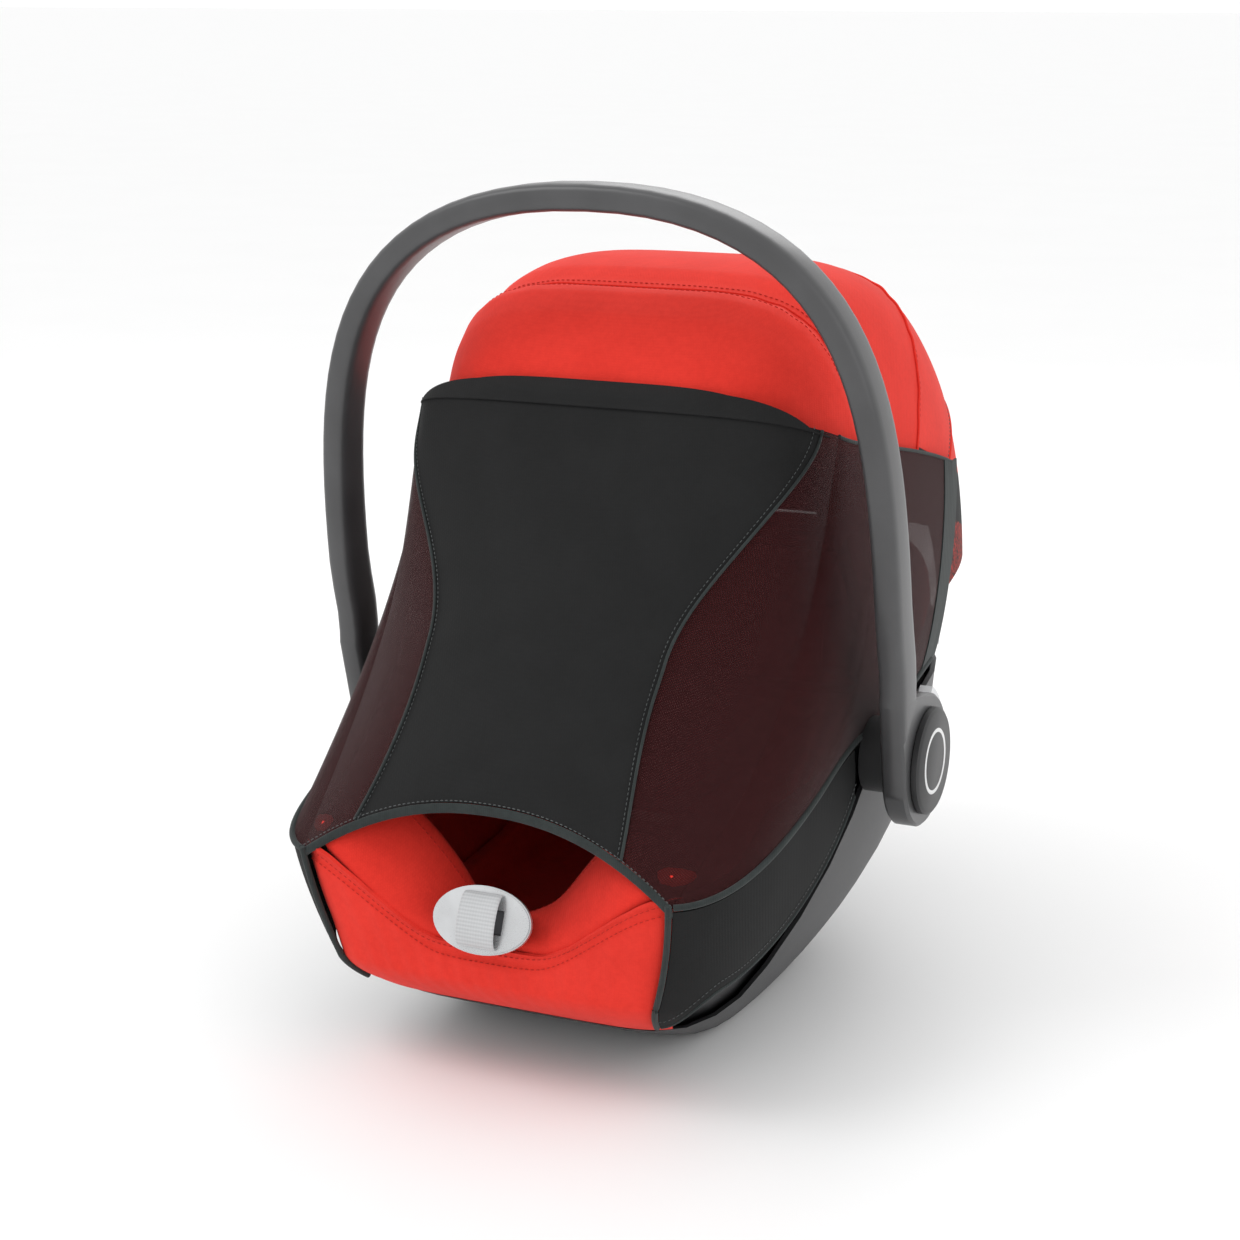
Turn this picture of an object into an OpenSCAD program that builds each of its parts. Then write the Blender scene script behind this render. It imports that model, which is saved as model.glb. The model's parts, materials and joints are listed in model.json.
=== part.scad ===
// Infant car seat: rigid two-shell carrier with a swinging handle, folding sun canopy, sliding headrest,
// three-point harness and a stretch sun net. Front (foot end) is -Y, head end is +Y, the floor is z = 0.

/* [Carrier] */
// Half width of the outer shell at the handle pivots
hull_half_w = 172; // [160:1:185]
// Half width of the flat sole that stands on the floor
sole_half_w = 100; // [85:1:110]
// Length of the sole in front of the pivot datum line
sole_front = 112; // [100:1:130]
// Length of the sole behind the pivot datum line
sole_rear = 100; // [85:1:115]
// Forward rake of the foot end, millimetres per millimetre of height
foot_rake = 0.24; // [0.15:0.01:0.3]
// Height of the side rim of the inner seat shell
rim_z = 190; // [175:1:205]
// Drop of the rim at the two foot corners
corner_dip = 34; // [20:1:40]
// Further drop of the rim in the middle of the foot end
foot_dip = 54; // [30:1:60]
// Wall of the grey outer shell
shell_wall = 3.5; // [3:0.5:5]
// Wall of the black inner seat shell
seat_wall = 4; // [3:0.5:5]
// Thickness of the energy-absorbing foam liner
foam_t = 12; // [8:1:16]
// Thickness of the padded fabric lining
lining_t = 6; // [4:1:8]
// Thickness of the newborn inlay cushion
inlay_t = 18; // [12:1:22]

/* [Handle] */
// Height of the handle pivot axis above the floor
pivot_z = 186; // [176:1:196]
// Height of the grip's centreline above the pivot axis
handle_rise = 380; // [370:1:410]
// Distance of the centreline of each handle leg outside the shell
handle_out = 34; // [30:1:38]
// Thickness of the handle section, inside to outside
handle_t = 19; // [16:1:20]
// Depth of the handle section, front to back
handle_d = 34; // [28:1:38]
// Radius of the pivot hub at each end of the handle
hub_r = 46; // [42:1:50]
// Outer radius of the tubular pivot axle
axle_r = 16; // [14:0.5:18]
// Radius of the guide stem of the side-impact protector
stem_r = 11; // [9:0.5:12]
// Running clearance on the radius, for every shaft that turns or slides
play = 0.06; // [0.03:0.01:0.1]

/* [Canopy] */
// Distance of the canopy pivot behind the handle pivot
canopy_back = 70; // [60:1:80]
// Height of the canopy pivot above the handle pivot
canopy_up = 54; // [50:1:60]
// Distance of the front bow, the innermost of the three, inside the shell's side
bow_in = 25; // [25:1:32]
// Reach of the front bow from the canopy pivot
bow_front_r = 240; // [220:1:250]
// How much farther than the front bow the middle bow reaches
bow_mid_more = 26; // [18:1:26]
// How much farther than the middle bow the rear bow reaches
bow_rear_more = 8; // [7:0.5:9]
// Thickness of the bow strips
bow_t = 4; // [3:0.5:4]
// Width of the bow strips
bow_d = 12; // [8:1:14]
// Thickness of the canopy fabric
canopy_t = 1.3; // [1:0.1:1.5]

/* [Sun net] */
// Thickness of the stretch fabric
net_t = 1.5; // [1:0.5:2.5]
// Gap between the net and what it is stretched over
net_gap = 2; // [1.5:0.5:4]

/* [Harness] */
// Width of the shoulder webbing
web_w = 25; // [20:1:38]
// Thickness of the webbing
web_t = 1.6; // [1.2:0.2:2.4]
// Width of the shoulder pads
pad_w = 46; // [38:1:55]
// Width of the buckle body
buckle_w = 46; // [40:1:56]

/* [Hidden] */
$fn = 48;

datum_y = -37.5;
pivot_y = datum_y - 5;
handle_half_w = hull_half_w + handle_out;
bow_half_w = hull_half_w - bow_in;
bow_mid_r = bow_front_r + bow_mid_more;
bow_rear_r = bow_mid_r + bow_rear_more;
function sgn_pow(v, p) = sign(v) * pow(abs(v), p);
function soft(v, r) = 0.5 * (v + sqrt(v * v + r * r));
function ease(v) = let (c = min(1, max(0, v))) c * c * (3 - 2 * c);
function lerp(a, b, t) = a + (b - a) * t;

// ---- hull of the carrier: a superellipse in plan whose size follows the height ----
plan_n_front = 7;
plan_n_rear = 3.2;
foot_taper = 0.07;
head_taper = 0.02;
bilge_front = 114;
bilge_z = 75;
back_slope = 1.5;
back_curve = 0.0022;
function hull_w(z) = sole_half_w
  + (hull_half_w - sole_half_w) * (1 - pow(1 - min(z, pivot_z) / pivot_z, 2.2))
  - 0.09 * max(0, z - pivot_z);
function front_len(z) = sole_front + bilge_front * (1 - pow(1 - min(z, bilge_z) / bilge_z, 1.5)) + foot_rake * z;
function rear_len(z) = sole_rear + back_slope * z - back_curve * z * z;
function hull_pt(a, z, inset) =
  let (front = sin(a) < 0,
       n = front ? plan_n_front : plan_n_rear,
       rho = pow(pow(abs(cos(a)), n) + pow(abs(sin(a)), n), -1 / n),
       s = rho * sin(a),
       c = rho * cos(a),
       len = (front ? front_len(z) : rear_len(z)) - inset,
       taper = 1 - (front ? foot_taper : head_taper) * s * s)
  [(hull_w(z) - inset) * c * taper, datum_y + len * s, z];

// ---- rims ----
function ref_pt(a) = hull_pt(a, rim_z, 0);
function base_rim(a) = let (y = ref_pt(a)[1] - datum_y) min(pivot_z + 10, 38 + 0.9 * soft(y + 150, 30));
function foot_mask(a) = let (p = ref_pt(a)) ease((datum_y - p[1] - 160) / 70);
function seat_rim(a) = let (p = ref_pt(a))
  rim_z + 0.27 * soft(p[1] - datum_y - 20, 50)
  - foot_mask(a) * (corner_dip + foot_dip * (1 - ease((abs(p[0]) - 35) / 100)));

// Closed shell between two insets of the hull, from z_out and z_in at the sole up to a rim.
// rims holds one height for each angle.
tub_n = 56;
tub_angles = [for (i = [0:tub_n - 1]) 360 * i / tub_n];
function tub_pts(inset, z0, rims, rows) = [for (k = [0:rows - 1]) for (i = [0:tub_n - 1])
  hull_pt(tub_angles[i], z0 + pow(k / (rows - 1), 1.5) * (rims[i] - z0), inset)];
module tub(inset_out, inset_in, z_out, z_in, rims, rows) {
  outer = tub_pts(inset_out, z_out, rims, rows);
  inner = tub_pts(inset_in, z_in, rims, rows);
  n = tub_n;
  m = tub_n * rows;
  pts = concat(outer, inner, [[0, datum_y, z_out], [0, datum_y, z_in]]);
  c_out = 2 * m;
  c_in = 2 * m + 1;
  side = [for (k = [0:rows - 2]) for (i = [0:n - 1])
    let (a = k * n + i, b = k * n + (i + 1) % n)
    each [[a, a + n, b], [b, a + n, b + n], [m + a, m + b, m + a + n], [m + b, m + b + n, m + a + n]]];
  rim = [for (i = [0:n - 1]) let (a = (rows - 1) * n + i, b = (rows - 1) * n + (i + 1) % n)
    each [[a, m + a, b], [b, m + a, m + b]]];
  floor_faces = [for (i = [0:n - 1]) let (j = (i + 1) % n) each [[c_out, i, j], [c_in, m + j, m + i]]];
  polyhedron(pts, concat(side, rim, floor_faces), convexity = 6);
}

// A sheet solid over a grid of points, thickened along its own normals.
function grid_normal(g, i, j) =
  let (ni = len(g), nj = len(g[0]),
       du = g[min(i + 1, ni - 1)][j] - g[max(i - 1, 0)][j],
       dv = g[i][min(j + 1, nj - 1)] - g[i][max(j - 1, 0)],
       c = cross(du, dv))
  c / norm(c);
module sheet(g, t) {
  ni = len(g);
  nj = len(g[0]);
  m = ni * nj;
  low = [for (i = [0:ni - 1]) for (j = [0:nj - 1]) g[i][j]];
  top = [for (i = [0:ni - 1]) for (j = [0:nj - 1]) g[i][j] + t * grid_normal(g, i, j)];
  f = [for (i = [0:ni - 2]) for (j = [0:nj - 2])
    let (a = i * nj + j, b = a + 1, c = a + nj, d = c + 1)
    each [[a, b, c], [b, d, c], [m + a, m + c, m + b], [m + b, m + c, m + d]]];
  ends_i = [for (j = [0:nj - 2]) let (a = j, b = j + 1, c = (ni - 1) * nj + j, d = c + 1)
    each [[a, m + a, b], [b, m + a, m + b], [c, d, m + c], [d, m + d, m + c]]];
  ends_j = [for (i = [0:ni - 2]) let (a = i * nj, c = a + nj, b = a + nj - 1, d = b + nj)
    each [[a, c, m + a], [c, m + c, m + a], [b, m + b, d], [d, m + b, m + d]]];
  faces = concat(f, ends_i, ends_j);
  polyhedron(concat(low, top), t < 0 ? faces : [for (q = faces) [q[0], q[2], q[1]]], convexity = 6);
}

// A tube with a superellipse section swept along a path, w across the side vectors and d along the depth vectors.
function section(w, d, n, e) = [for (i = [0:n - 1]) let (a = 360 * i / n)
  [w / 2 * sgn_pow(cos(a), e), d / 2 * sgn_pow(sin(a), e)]];
module sweep(path, sides, depths, sect) {
  n = len(sect);
  rows = len(path);
  pts = [for (k = [0:rows - 1]) for (p = sect) path[k] + p[0] * sides[k] + p[1] * depths[k]];
  body = [for (k = [0:rows - 2]) for (i = [0:n - 1])
    let (a = k * n + i, b = k * n + (i + 1) % n) each [[a, a + n, b], [b, a + n, b + n]]];
  caps = [[for (i = [0:n - 1]) i], [for (i = [n - 1:-1:0]) (rows - 1) * n + i]];
  polyhedron(pts, concat(body, caps), convexity = 6);
}
function unit(v) = v / norm(v);
function tangent(p, k) = unit(p[min(k + 1, len(p) - 1)] - p[max(k - 1, 0)]);

// ---- nested shells ----
gap = 1.8;
base_floor = 3;
shell_gap = 4;
seat_inset = shell_wall + shell_gap;
seat_floor = base_floor + shell_wall + 6;
cover_t = 2.5;
foam_inset = seat_inset + seat_wall + gap;
foam_floor = seat_floor + seat_wall + gap;
lining_inset = foam_inset + foam_t + gap;
lining_floor = foam_floor + foam_t + 8 + gap;
inlay_inset = lining_inset + lining_t + gap;
inlay_floor = lining_floor + lining_t + gap;
base_rims = [for (a = tub_angles) base_rim(a)];
seat_rims = [for (a = tub_angles) seat_rim(a)];
lining_rims = [for (a = tub_angles) seat_rim(a) - 3];
foam_rims = [for (a = tub_angles) seat_rim(a) - 10];
inlay_rims = [for (a = tub_angles) let (y = ref_pt(a)[1] - datum_y) 82 + 0.19 * soft(y + 20, 80)];
sole_z = base_floor + shell_wall;
bar_y = [datum_y - sole_front + 20, datum_y + sole_rear - 38];
screw_at = [for (sx = [-1, 1]) for (sy = [datum_y - 60, datum_y + 25]) [sx * 36, sy]];
screw_r = 2.5;
module base_shell() color([0.20, 0.20, 0.21]) difference() {
  tub(0, shell_wall, base_floor, sole_z, base_rims, 12);
  for (y = bar_y) translate([-42, y - 11, base_floor - 1]) cube([84, 22, shell_wall + 2]);
  for (p = screw_at) translate([p[0], p[1], base_floor - 1]) cylinder(r = screw_r + 0.3, h = shell_wall + 2);
}
module seat_shell() color([0.05, 0.05, 0.055])
  tub(seat_inset, seat_inset + seat_wall, seat_floor, seat_floor + seat_wall, seat_rims, 12);
module foam_liner() color([0.35, 0.35, 0.36])
  tub(foam_inset, foam_inset + foam_t, foam_floor, foam_floor + foam_t + 8, foam_rims, 8);
module seat_lining() color([0.75, 0.10, 0.07])
  tub(lining_inset, lining_inset + lining_t, lining_floor, lining_floor + lining_t, lining_rims, 8);
module newborn_inlay() color([0.72, 0.10, 0.07])
  tub(inlay_inset, inlay_inset + inlay_t, inlay_floor, inlay_floor + inlay_t * 0.7, inlay_rims, 7);

// Red outer wrap of the foot end, from the base shell's rim up to the seat rim.
function wrap_inset(z) = lerp(0.3, seat_inset - cover_t - 1, ease((z - 55) / 50));
wrap_half = 47;
wrap_angles = [for (i = [0:24]) -90 + wrap_half * (i / 12 - 1)];
module foot_cover() color([0.86, 0.20, 0.14])
  sheet([for (a = wrap_angles) [for (k = [0:8])
    let (z = lerp(base_rim(a) + 3, seat_rim(a) - 1, k / 8)) hull_pt(a, z, wrap_inset(z))]], -cover_t);

// ---- underside ----
module floor_pads() color([0.08, 0.08, 0.085])
  for (sx = [-1, 1]) for (y = [datum_y - sole_front + 44, datum_y + sole_rear - 50])
    translate([sx * (sole_half_w - 34), y, 0]) linear_extrude(base_floor) {
      square([20, 60], center = true);
      for (e = [-1, 1]) translate([0, e * 30]) circle(d = 20);
    }
bar_r = 2.6;
bar_z = sole_z + bar_r + 0.2;
module latch_bars() color([0.75, 0.76, 0.78])
  for (y = bar_y) translate([-56, y, bar_z]) rotate([0, 90, 0]) cylinder(r = bar_r, h = 112);
module sole_screws() color([0.70, 0.71, 0.73])
  for (p = screw_at) translate([p[0], p[1], 0]) {
    translate([0, 0, base_floor - 1.8]) cylinder(r = 2 * screw_r, h = 1.8);
    translate([0, 0, base_floor]) cylinder(r = screw_r, h = seat_floor - base_floor - 0.3);
  }
latch_t = 3;
latch_travel = 6;
module base_latch() color([0.75, 0.76, 0.78])
  translate([-30, bar_y[1] - bar_r - 6 - 24, sole_z + 1]) difference() {
    cube([60, 24, latch_t]);
    translate([15, 17, -1]) cube([30, 8, latch_t + 2]);
  }

// Band on the hull between two heights that follow the plan angle
module band(a0, a1, n, lo, hi, inset, t)
  sheet([for (i = [0:n]) let (a = lerp(a0, a1, i / n))
    [for (k = [0:3]) hull_pt(a, lerp(lo, hi, k / 3) + rear_rise * ease(1 - abs(a - 90) / 62), inset)]], -t);
rear_rise = 26;
housing_out = 3.2;
housing_t = 2.6;
lever_gap = 0.8;
lever_t = 4;
lever_h = 9;
lever_travel = 6;
module rear_housing() color([0.06, 0.06, 0.065])
  band(35, 145, 28, rim_z + 12, rim_z + 34, seat_inset - 1 - housing_t, housing_t);
module release_lever() color([0.80, 0.81, 0.82])
  band(38, 142, 28, rim_z + 15, rim_z + 15 + lever_h, seat_inset - 1 - housing_t - lever_gap - lever_t, lever_t);

// ---- handle ----
hub_x0 = handle_half_w - handle_t / 2;
hub_x1 = hub_x0 + 17;
boss_r = 26;
boss_x0 = hull_half_w + 1.2;
boss_x1 = hub_x0 - 0.8;
module side_x(s) translate([0, pivot_y, pivot_z]) scale([s, 1, 1]) children();
module x_cyl(r, x0, x1) translate([x0, 0, 0]) rotate([0, 90, 0]) cylinder(r = r, h = x1 - x0);
module pivot_boss() difference() {
  x_cyl(boss_r, boss_x0, boss_x1);
  x_cyl(axle_r, boss_x0 - 1, boss_x1 + 1);
}
axle_x1 = hub_x1 - 3.5;
module pivot_axle() difference() {
  x_cyl(axle_r, boss_x0, axle_x1);
  x_cyl(stem_r + play, boss_x0 - 1, axle_x1 + 1);
}
cap_r = 37;
cap_x0 = hub_x1 + 0.8;
cap_t = 5.2;
cap_travel = 15;
module side_protector() {
  x_cyl(stem_r, boss_x0 + 1.5, cap_x0 + 1);
  translate([cap_x0, 0, 0]) rotate([0, 90, 0]) cylinder(r1 = cap_r, r2 = cap_r, h = cap_t - 1.6);
  translate([cap_x0 + cap_t - 1.6, 0, 0]) rotate([0, 90, 0]) cylinder(r1 = cap_r, r2 = cap_r - 2.4, h = 1.6);
}
shoulder_z = 52;
shoulder_y = -44;
button_w = 30;
button_t = 9;
button_a = 48;
button_travel = 4;
button_slack = 0.4;
pocket_r = hub_r - 10;
module button_block(w, t, r0, r1) rotate([button_a, 0, 0])
  translate([(hub_x0 + hub_x1) / 2 - t / 2, r0, -w / 2]) cube([t, r1 - r0, w]);
module hub() difference() {
  hull() {
    x_cyl(hub_r - 2, hub_x0, hub_x1, $fn = 64);
    x_cyl(hub_r, hub_x0 + 2, hub_x1 - 2, $fn = 64);
    translate([handle_half_w, shoulder_y, shoulder_z - 1]) linear_extrude(1)
      polygon(section(handle_t, handle_d, 24, 0.5));
  }
  x_cyl(axle_r + play, hub_x0 - 1, axle_x1 + 0.3);
  x_cyl(stem_r + 2, axle_x1, hub_x1 + 3);
  translate([hub_x1, 0, 0]) rotate([0, 90, 0]) cylinder(r = hub_r + 12, h = 8);
  button_block(button_w + 2 * button_slack, button_t + 2 * button_slack, pocket_r, hub_r + 20);
}
module handle_button() intersection() {
  button_block(button_w, button_t, pocket_r + button_travel + 1.5, hub_r + 20);
  x_cyl(hub_r + 5, hub_x0, hub_x1, $fn = 64);
}
module pivot_boss_left() color([0.12, 0.12, 0.125]) side_x(-1) pivot_boss();
module pivot_boss_right() color([0.12, 0.12, 0.125]) side_x(1) pivot_boss();
module pivot_axle_left() color([0.7, 0.7, 0.72]) side_x(-1) pivot_axle();
module pivot_axle_right() color([0.7, 0.7, 0.72]) side_x(1) pivot_axle();
module handle_hub_left() color([0.16, 0.16, 0.17]) side_x(-1) hub();
module handle_hub_right() color([0.16, 0.16, 0.17]) side_x(1) hub();
module side_protector_left() color([0.1, 0.1, 0.105]) side_x(-1) side_protector();
module side_protector_right() color([0.1, 0.1, 0.105]) side_x(1) side_protector();
module handle_button_left() color([0.8, 0.81, 0.82]) side_x(-1) handle_button();
module handle_button_right() color([0.8, 0.81, 0.82]) side_x(1) handle_button();

arch_z0 = -84;
arch_n = 56;
function arch_pt(f) =
  let (z = arch_z0 + pow(sin(f), 2 / 5.9) * (handle_rise - arch_z0),
       zz = max(z, shoulder_z),
       lean = -41 - 0.135 * zz + 8 * pow((zz - 150) / 200, 2))
  [handle_half_w * sgn_pow(cos(f), 2 / 2.25), pivot_y + lerp(shoulder_y, lean, ease((zz - shoulder_z) / 60)),
   pivot_z + zz];
arch_f0 = asin(pow((shoulder_z - arch_z0) / (handle_rise - arch_z0), 2.95));
arch_path = [for (k = [0:arch_n]) let (u = 2 * k / arch_n - 1)
  arch_pt(90 + (90 - arch_f0) * sign(u) * (1 - pow(1 - abs(u), 1.7)))];
function arch_depth(k) = (k == 0 || k == arch_n) ? [0, 1, 0]
  : let (t = tangent(arch_path, k)) unit([0, 1, 0] - t * t[1]);
function arch_side(k) = k == 0 ? [1, 0, 0] : k == arch_n ? [-1, 0, 0] : cross(arch_depth(k), tangent(arch_path, k));
handle_section = section(handle_t, handle_d, 28, 0.5);
module carry_handle() color([0.16, 0.16, 0.17])
  sweep(arch_path, [for (k = [0:arch_n]) arch_side(k)], [for (k = [0:arch_n]) arch_depth(k)], handle_section);

// ---- canopy ----
canopy_y = pivot_y + canopy_back;
canopy_pz = pivot_z + canopy_up;
front_at = 124;
mid_at = 106;
rear_at = 68;
tail_at = 12;
bow_gap = 0.6;
lat_gap = 1;
arch_pow = 4.5;
pin_r = 5;
bow_ring_r = 9;
panel_low_r = 112;
front_w = bow_half_w;
front_panel_w = front_w + bow_gap + canopy_t;
mid_w = front_panel_w + lat_gap + bow_t;
mid_panel_w = mid_w + bow_gap + canopy_t;
rear_w = mid_panel_w + lat_gap + bow_t;
rear_panel_w = rear_w + bow_gap + canopy_t;
function arch_line(w, r, low, n) = let (m = acos(pow(low / r, arch_pow / 2)))
  [for (i = [0:n]) let (a = -m + 2 * m * i / n)
    [r * pow(max(0, cos(a)), 2 / arch_pow), w * sgn_pow(sin(a), 2 / arch_pow)]];
function arch_band(w, r, t, low, n) = concat(arch_line(w, r, low, n),
  [for (i = [n:-1:0]) arch_line(w - t, r - t, low, n)[i]]);
module at_canopy(phi) translate([0, canopy_y, canopy_pz]) rotate([0, 90, 0]) rotate([0, 0, 90 + phi]) children();
module canopy_sector(w, r, t, low, a0, a1) at_canopy(a0)
  rotate_extrude(angle = a1 - a0) polygon(arch_band(w, r, t, low, 36));
module bow(w, r, phi) at_canopy(phi) difference() {
  union() {
    rotate([90, 0, 0]) translate([0, 0, -bow_d / 2]) linear_extrude(bow_d)
      polygon(arch_band(w, r, bow_t, 6, 44));
    for (s = [-1, 1]) translate([0, 0, s * (w - bow_t / 2)]) cylinder(r = bow_ring_r, h = bow_t, center = true);
  }
  cylinder(r = pin_r + play, h = 400, center = true);
}
clip_x0 = rear_w + 0.4;
clip_t = 4;
clip_foot = canopy_pz - rim_z - 19;
module canopy_clip() {
  x_cyl(pin_r, front_w - bow_t - 1, clip_x0);
  x_cyl(11, clip_x0, clip_x0 + clip_t);
  translate([clip_x0, -9, -clip_foot]) cube([clip_t, 18, clip_foot]);
}
module canopy_clip_left() color([0.07, 0.07, 0.075])
  translate([0, canopy_y, canopy_pz]) scale([-1, 1, 1]) canopy_clip();
module canopy_clip_right() color([0.07, 0.07, 0.075]) translate([0, canopy_y, canopy_pz]) canopy_clip();
module canopy_bow_front() color([0.1, 0.1, 0.1]) bow(front_w, bow_front_r, front_at);
module canopy_bow_middle() color([0.1, 0.1, 0.1]) bow(mid_w, bow_mid_r, mid_at);
module canopy_bow_rear() color([0.1, 0.1, 0.1]) bow(rear_w, bow_rear_r, rear_at);
module canopy_panel_front() color([0.86, 0.20, 0.14])
  canopy_sector(front_panel_w, bow_front_r + bow_gap + canopy_t, canopy_t, panel_low_r, mid_at + 1, front_at + 1);
module canopy_panel_middle() color([0.86, 0.20, 0.14])
  canopy_sector(mid_panel_w, bow_mid_r + bow_gap + canopy_t, canopy_t, panel_low_r, rear_at + 1, mid_at + 1);
module canopy_panel_rear() color([0.80, 0.18, 0.13])
  canopy_sector(rear_panel_w, bow_rear_r + bow_gap + canopy_t, canopy_t, panel_low_r, tail_at, rear_at + 1);

// ---- sun net ----
function bez(p, t) = p[0] * pow(1 - t, 3) + p[1] * 3 * t * pow(1 - t, 2) + p[2] * 3 * t * t * (1 - t) + p[3] * pow(t, 3);
hem_t = 2;
hem_d = 9;
hem_at = 125;
hem_r = bow_front_r + bow_gap + canopy_t + 0.7 + hem_t;
hem_w = front_panel_w + 0.5 + hem_t;
hem_low = 175;
net_at = 129;
net_corner_a = -49.6;
net_top_r = bow_front_r + 4;
net_top_mid = [0, canopy_y + net_top_r * cos(net_at), canopy_pz + net_top_r * sin(net_at)];
net_side_at = 119;
net_top_side = [hem_w + 2.2, canopy_y + 194 * cos(net_side_at), canopy_pz + 194 * sin(net_side_at)];
net_corner_z = rim_z - corner_dip - 4;
net_corner = hull_pt(net_corner_a, net_corner_z, -net_gap);
bind_rise = 44;
foot_reach = 70.1;
net_mid_curve = [net_top_mid, [0, datum_y - 126, canopy_pz + 118],
  [0, net_corner[1] + foot_reach, canopy_pz + 36], [0, net_corner[1] + 12, net_corner_z + bind_rise]];
net_edge_curve = [net_top_side, [hull_half_w - 20, datum_y - 66, canopy_pz + 60],
  [hull_half_w - 14, datum_y - 112, rim_z + 36], net_corner];
function net_front(s, t) =
  let (m = bez(net_mid_curve, t), e = bez(net_edge_curve, t), v = abs(s),
       top = (1 - pow(1 - pow(0.985 * v, arch_pow), 1 / arch_pow)) / (1 - pow(1 - pow(0.985, arch_pow), 1 / arch_pow)),
       w = lerp(top, pow(v, 2.2), ease(1.6 * t)))
  [s * e[0], lerp(m[1], e[1], w), lerp(m[2], e[2], w)];
// Half width of the dark middle panel, as a share of the whole front
function panel_share(t) = 0.57 + 0.40 * (1 - ease(t / 0.6)) + 0.15 * pow(max(0, (t - 0.66) / 0.34), 2);
net_rows = 14;
seam_gap = 0.006;
module net_centre_panel() color([0.05, 0.05, 0.052])
  sheet([for (i = [0:16]) let (s = -1 + i / 8) [for (j = [0:net_rows]) let (t = j / net_rows)
    net_front(s * panel_share(t), t)]], net_t);

// Side of the net, a patch stretched between its four edges
rear_top = [rear_panel_w + 2, datum_y + 190, canopy_pz + 116];
side_end_a = 27;
rear_low = hull_pt(side_end_a, rim_z + 22, 0.5);
function side_top(u) = bez([net_top_side, [rear_panel_w - 2, datum_y - 10, canopy_pz + 158],
  [rear_panel_w + 2, datum_y + 100, canopy_pz + 144], rear_top], u);
function side_low(u) = let (a = lerp(net_corner_a, side_end_a, u))
  hull_pt(a, lerp(net_corner_z, rim_z + 12, ease(1.7 * u)) + 10 * ease((u - 0.7) / 0.3), lerp(-net_gap, 0.4, ease((u - 0.3) / 0.5)));
function side_front(t) = bez(net_edge_curve, t);
function side_rear(t) = bez([rear_top, [rear_panel_w + 4, datum_y + 198, canopy_pz + 60],
  [rear_panel_w + 6, datum_y + 160, rim_z + 46], rear_low], t);
function net_side(u, t) = side_top(u) * (1 - t) + side_low(u) * t + side_front(t) * (1 - u) + side_rear(t) * u
  - (net_top_side * (1 - u) + rear_top * u) * (1 - t) - (net_corner * (1 - u) + rear_low * u) * t;
function mirror_x(g, s) = [for (r = g) [for (p = r) [s * p[0], p[1], p[2]]]];
function mesh_grid(s) = mirror_x(concat(
  [for (i = [0:5]) [for (j = [0:net_rows]) let (t = j / net_rows)
    net_front(lerp(panel_share(t) + seam_gap, 1, i / 6), t)]],
  [for (i = [0:14]) [for (j = [0:net_rows]) net_side(i / 14, j / net_rows)]]), s);
module net_mesh_left() color([0.22, 0.12, 0.12]) sheet(mesh_grid(-1), -net_t);
module net_mesh_right() color([0.22, 0.12, 0.12]) sheet(mesh_grid(1), net_t);

skirt_rear_a = -8.5;
function skirt_low(a) = let (y = hull_pt(a, 120, 0)[1] - datum_y) 78 + 94 * pow(max(0, (y + 248) / 216), 2.6);
function skirt_top(a) = let (u = (a - net_corner_a) / (side_end_a - net_corner_a))
  lerp(net_corner_z, rim_z + 12, ease(1.7 * u)) - 3;
function skirt_grid(s) = mirror_x([for (i = [0:18]) let (a = lerp(net_corner_a, skirt_rear_a, i / 18))
  [for (k = [0:6]) hull_pt(a, lerp(skirt_low(a), skirt_top(a), k / 6), -net_gap)]], s);
module net_skirt_left() color([0.05, 0.05, 0.052]) sheet(skirt_grid(-1), -net_t);
module net_skirt_right() color([0.05, 0.05, 0.052]) sheet(skirt_grid(1), net_t);
bind_path = [for (i = [0:36]) let (s = -1 + i / 18) net_front(s, 1) + [0, -1.5, -3.5]];
module net_front_binding() color([0.05, 0.06, 0.058])
  sweep(bind_path, [for (k = [0:36]) [0, 0, 1]],
    [for (k = [0:36]) unit(cross(tangent(bind_path, k), [0, 0, 1]))], section(6, 3, 10, 1));
module net_top_hem() color([0.05, 0.05, 0.052]) at_canopy(hem_at)
  rotate([90, 0, 0]) translate([0, 0, -hem_d]) linear_extrude(hem_d)
    polygon(arch_band(hem_w, hem_r, hem_t, hem_low, 32));

// ---- headrest ----
back_lean = 28;
head_w = 98;
head_d = 84;
head_h = 118;
head_frame_t = 4;
head_pad_t = 24;
head_origin = [0, datum_y + 202.1 - lining_inset, rim_z + 19.4];
head_low = -22;
module at_head() translate(head_origin) rotate([-back_lean, 0, 0]) children();
function u_line(w, d, n) = [for (i = [0:n]) let (a = 180 * i / n) [w * sgn_pow(cos(a), 0.55), d * pow(sin(a), 0.55)]];
module u_band(w, d, t) polygon(concat(u_line(w, d, 40), [for (i = [40:-1:0]) u_line(w - t, d - t, 40)[i]]));
lever_pin_r = 1.2;
lever_pin_l = 14;
head_lever_travel = 5;
module headrest_frame() color([0.09, 0.09, 0.095]) at_head() difference() {
  translate([0, 0, head_low]) linear_extrude(head_h) u_band(head_w, head_d, head_frame_t);
  for (s = [-1, 1]) translate([s * 22, head_d - head_frame_t / 2, head_low + head_h - lever_pin_l])
    cylinder(r = lever_pin_r + play, h = lever_pin_l + 1);
}
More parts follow.
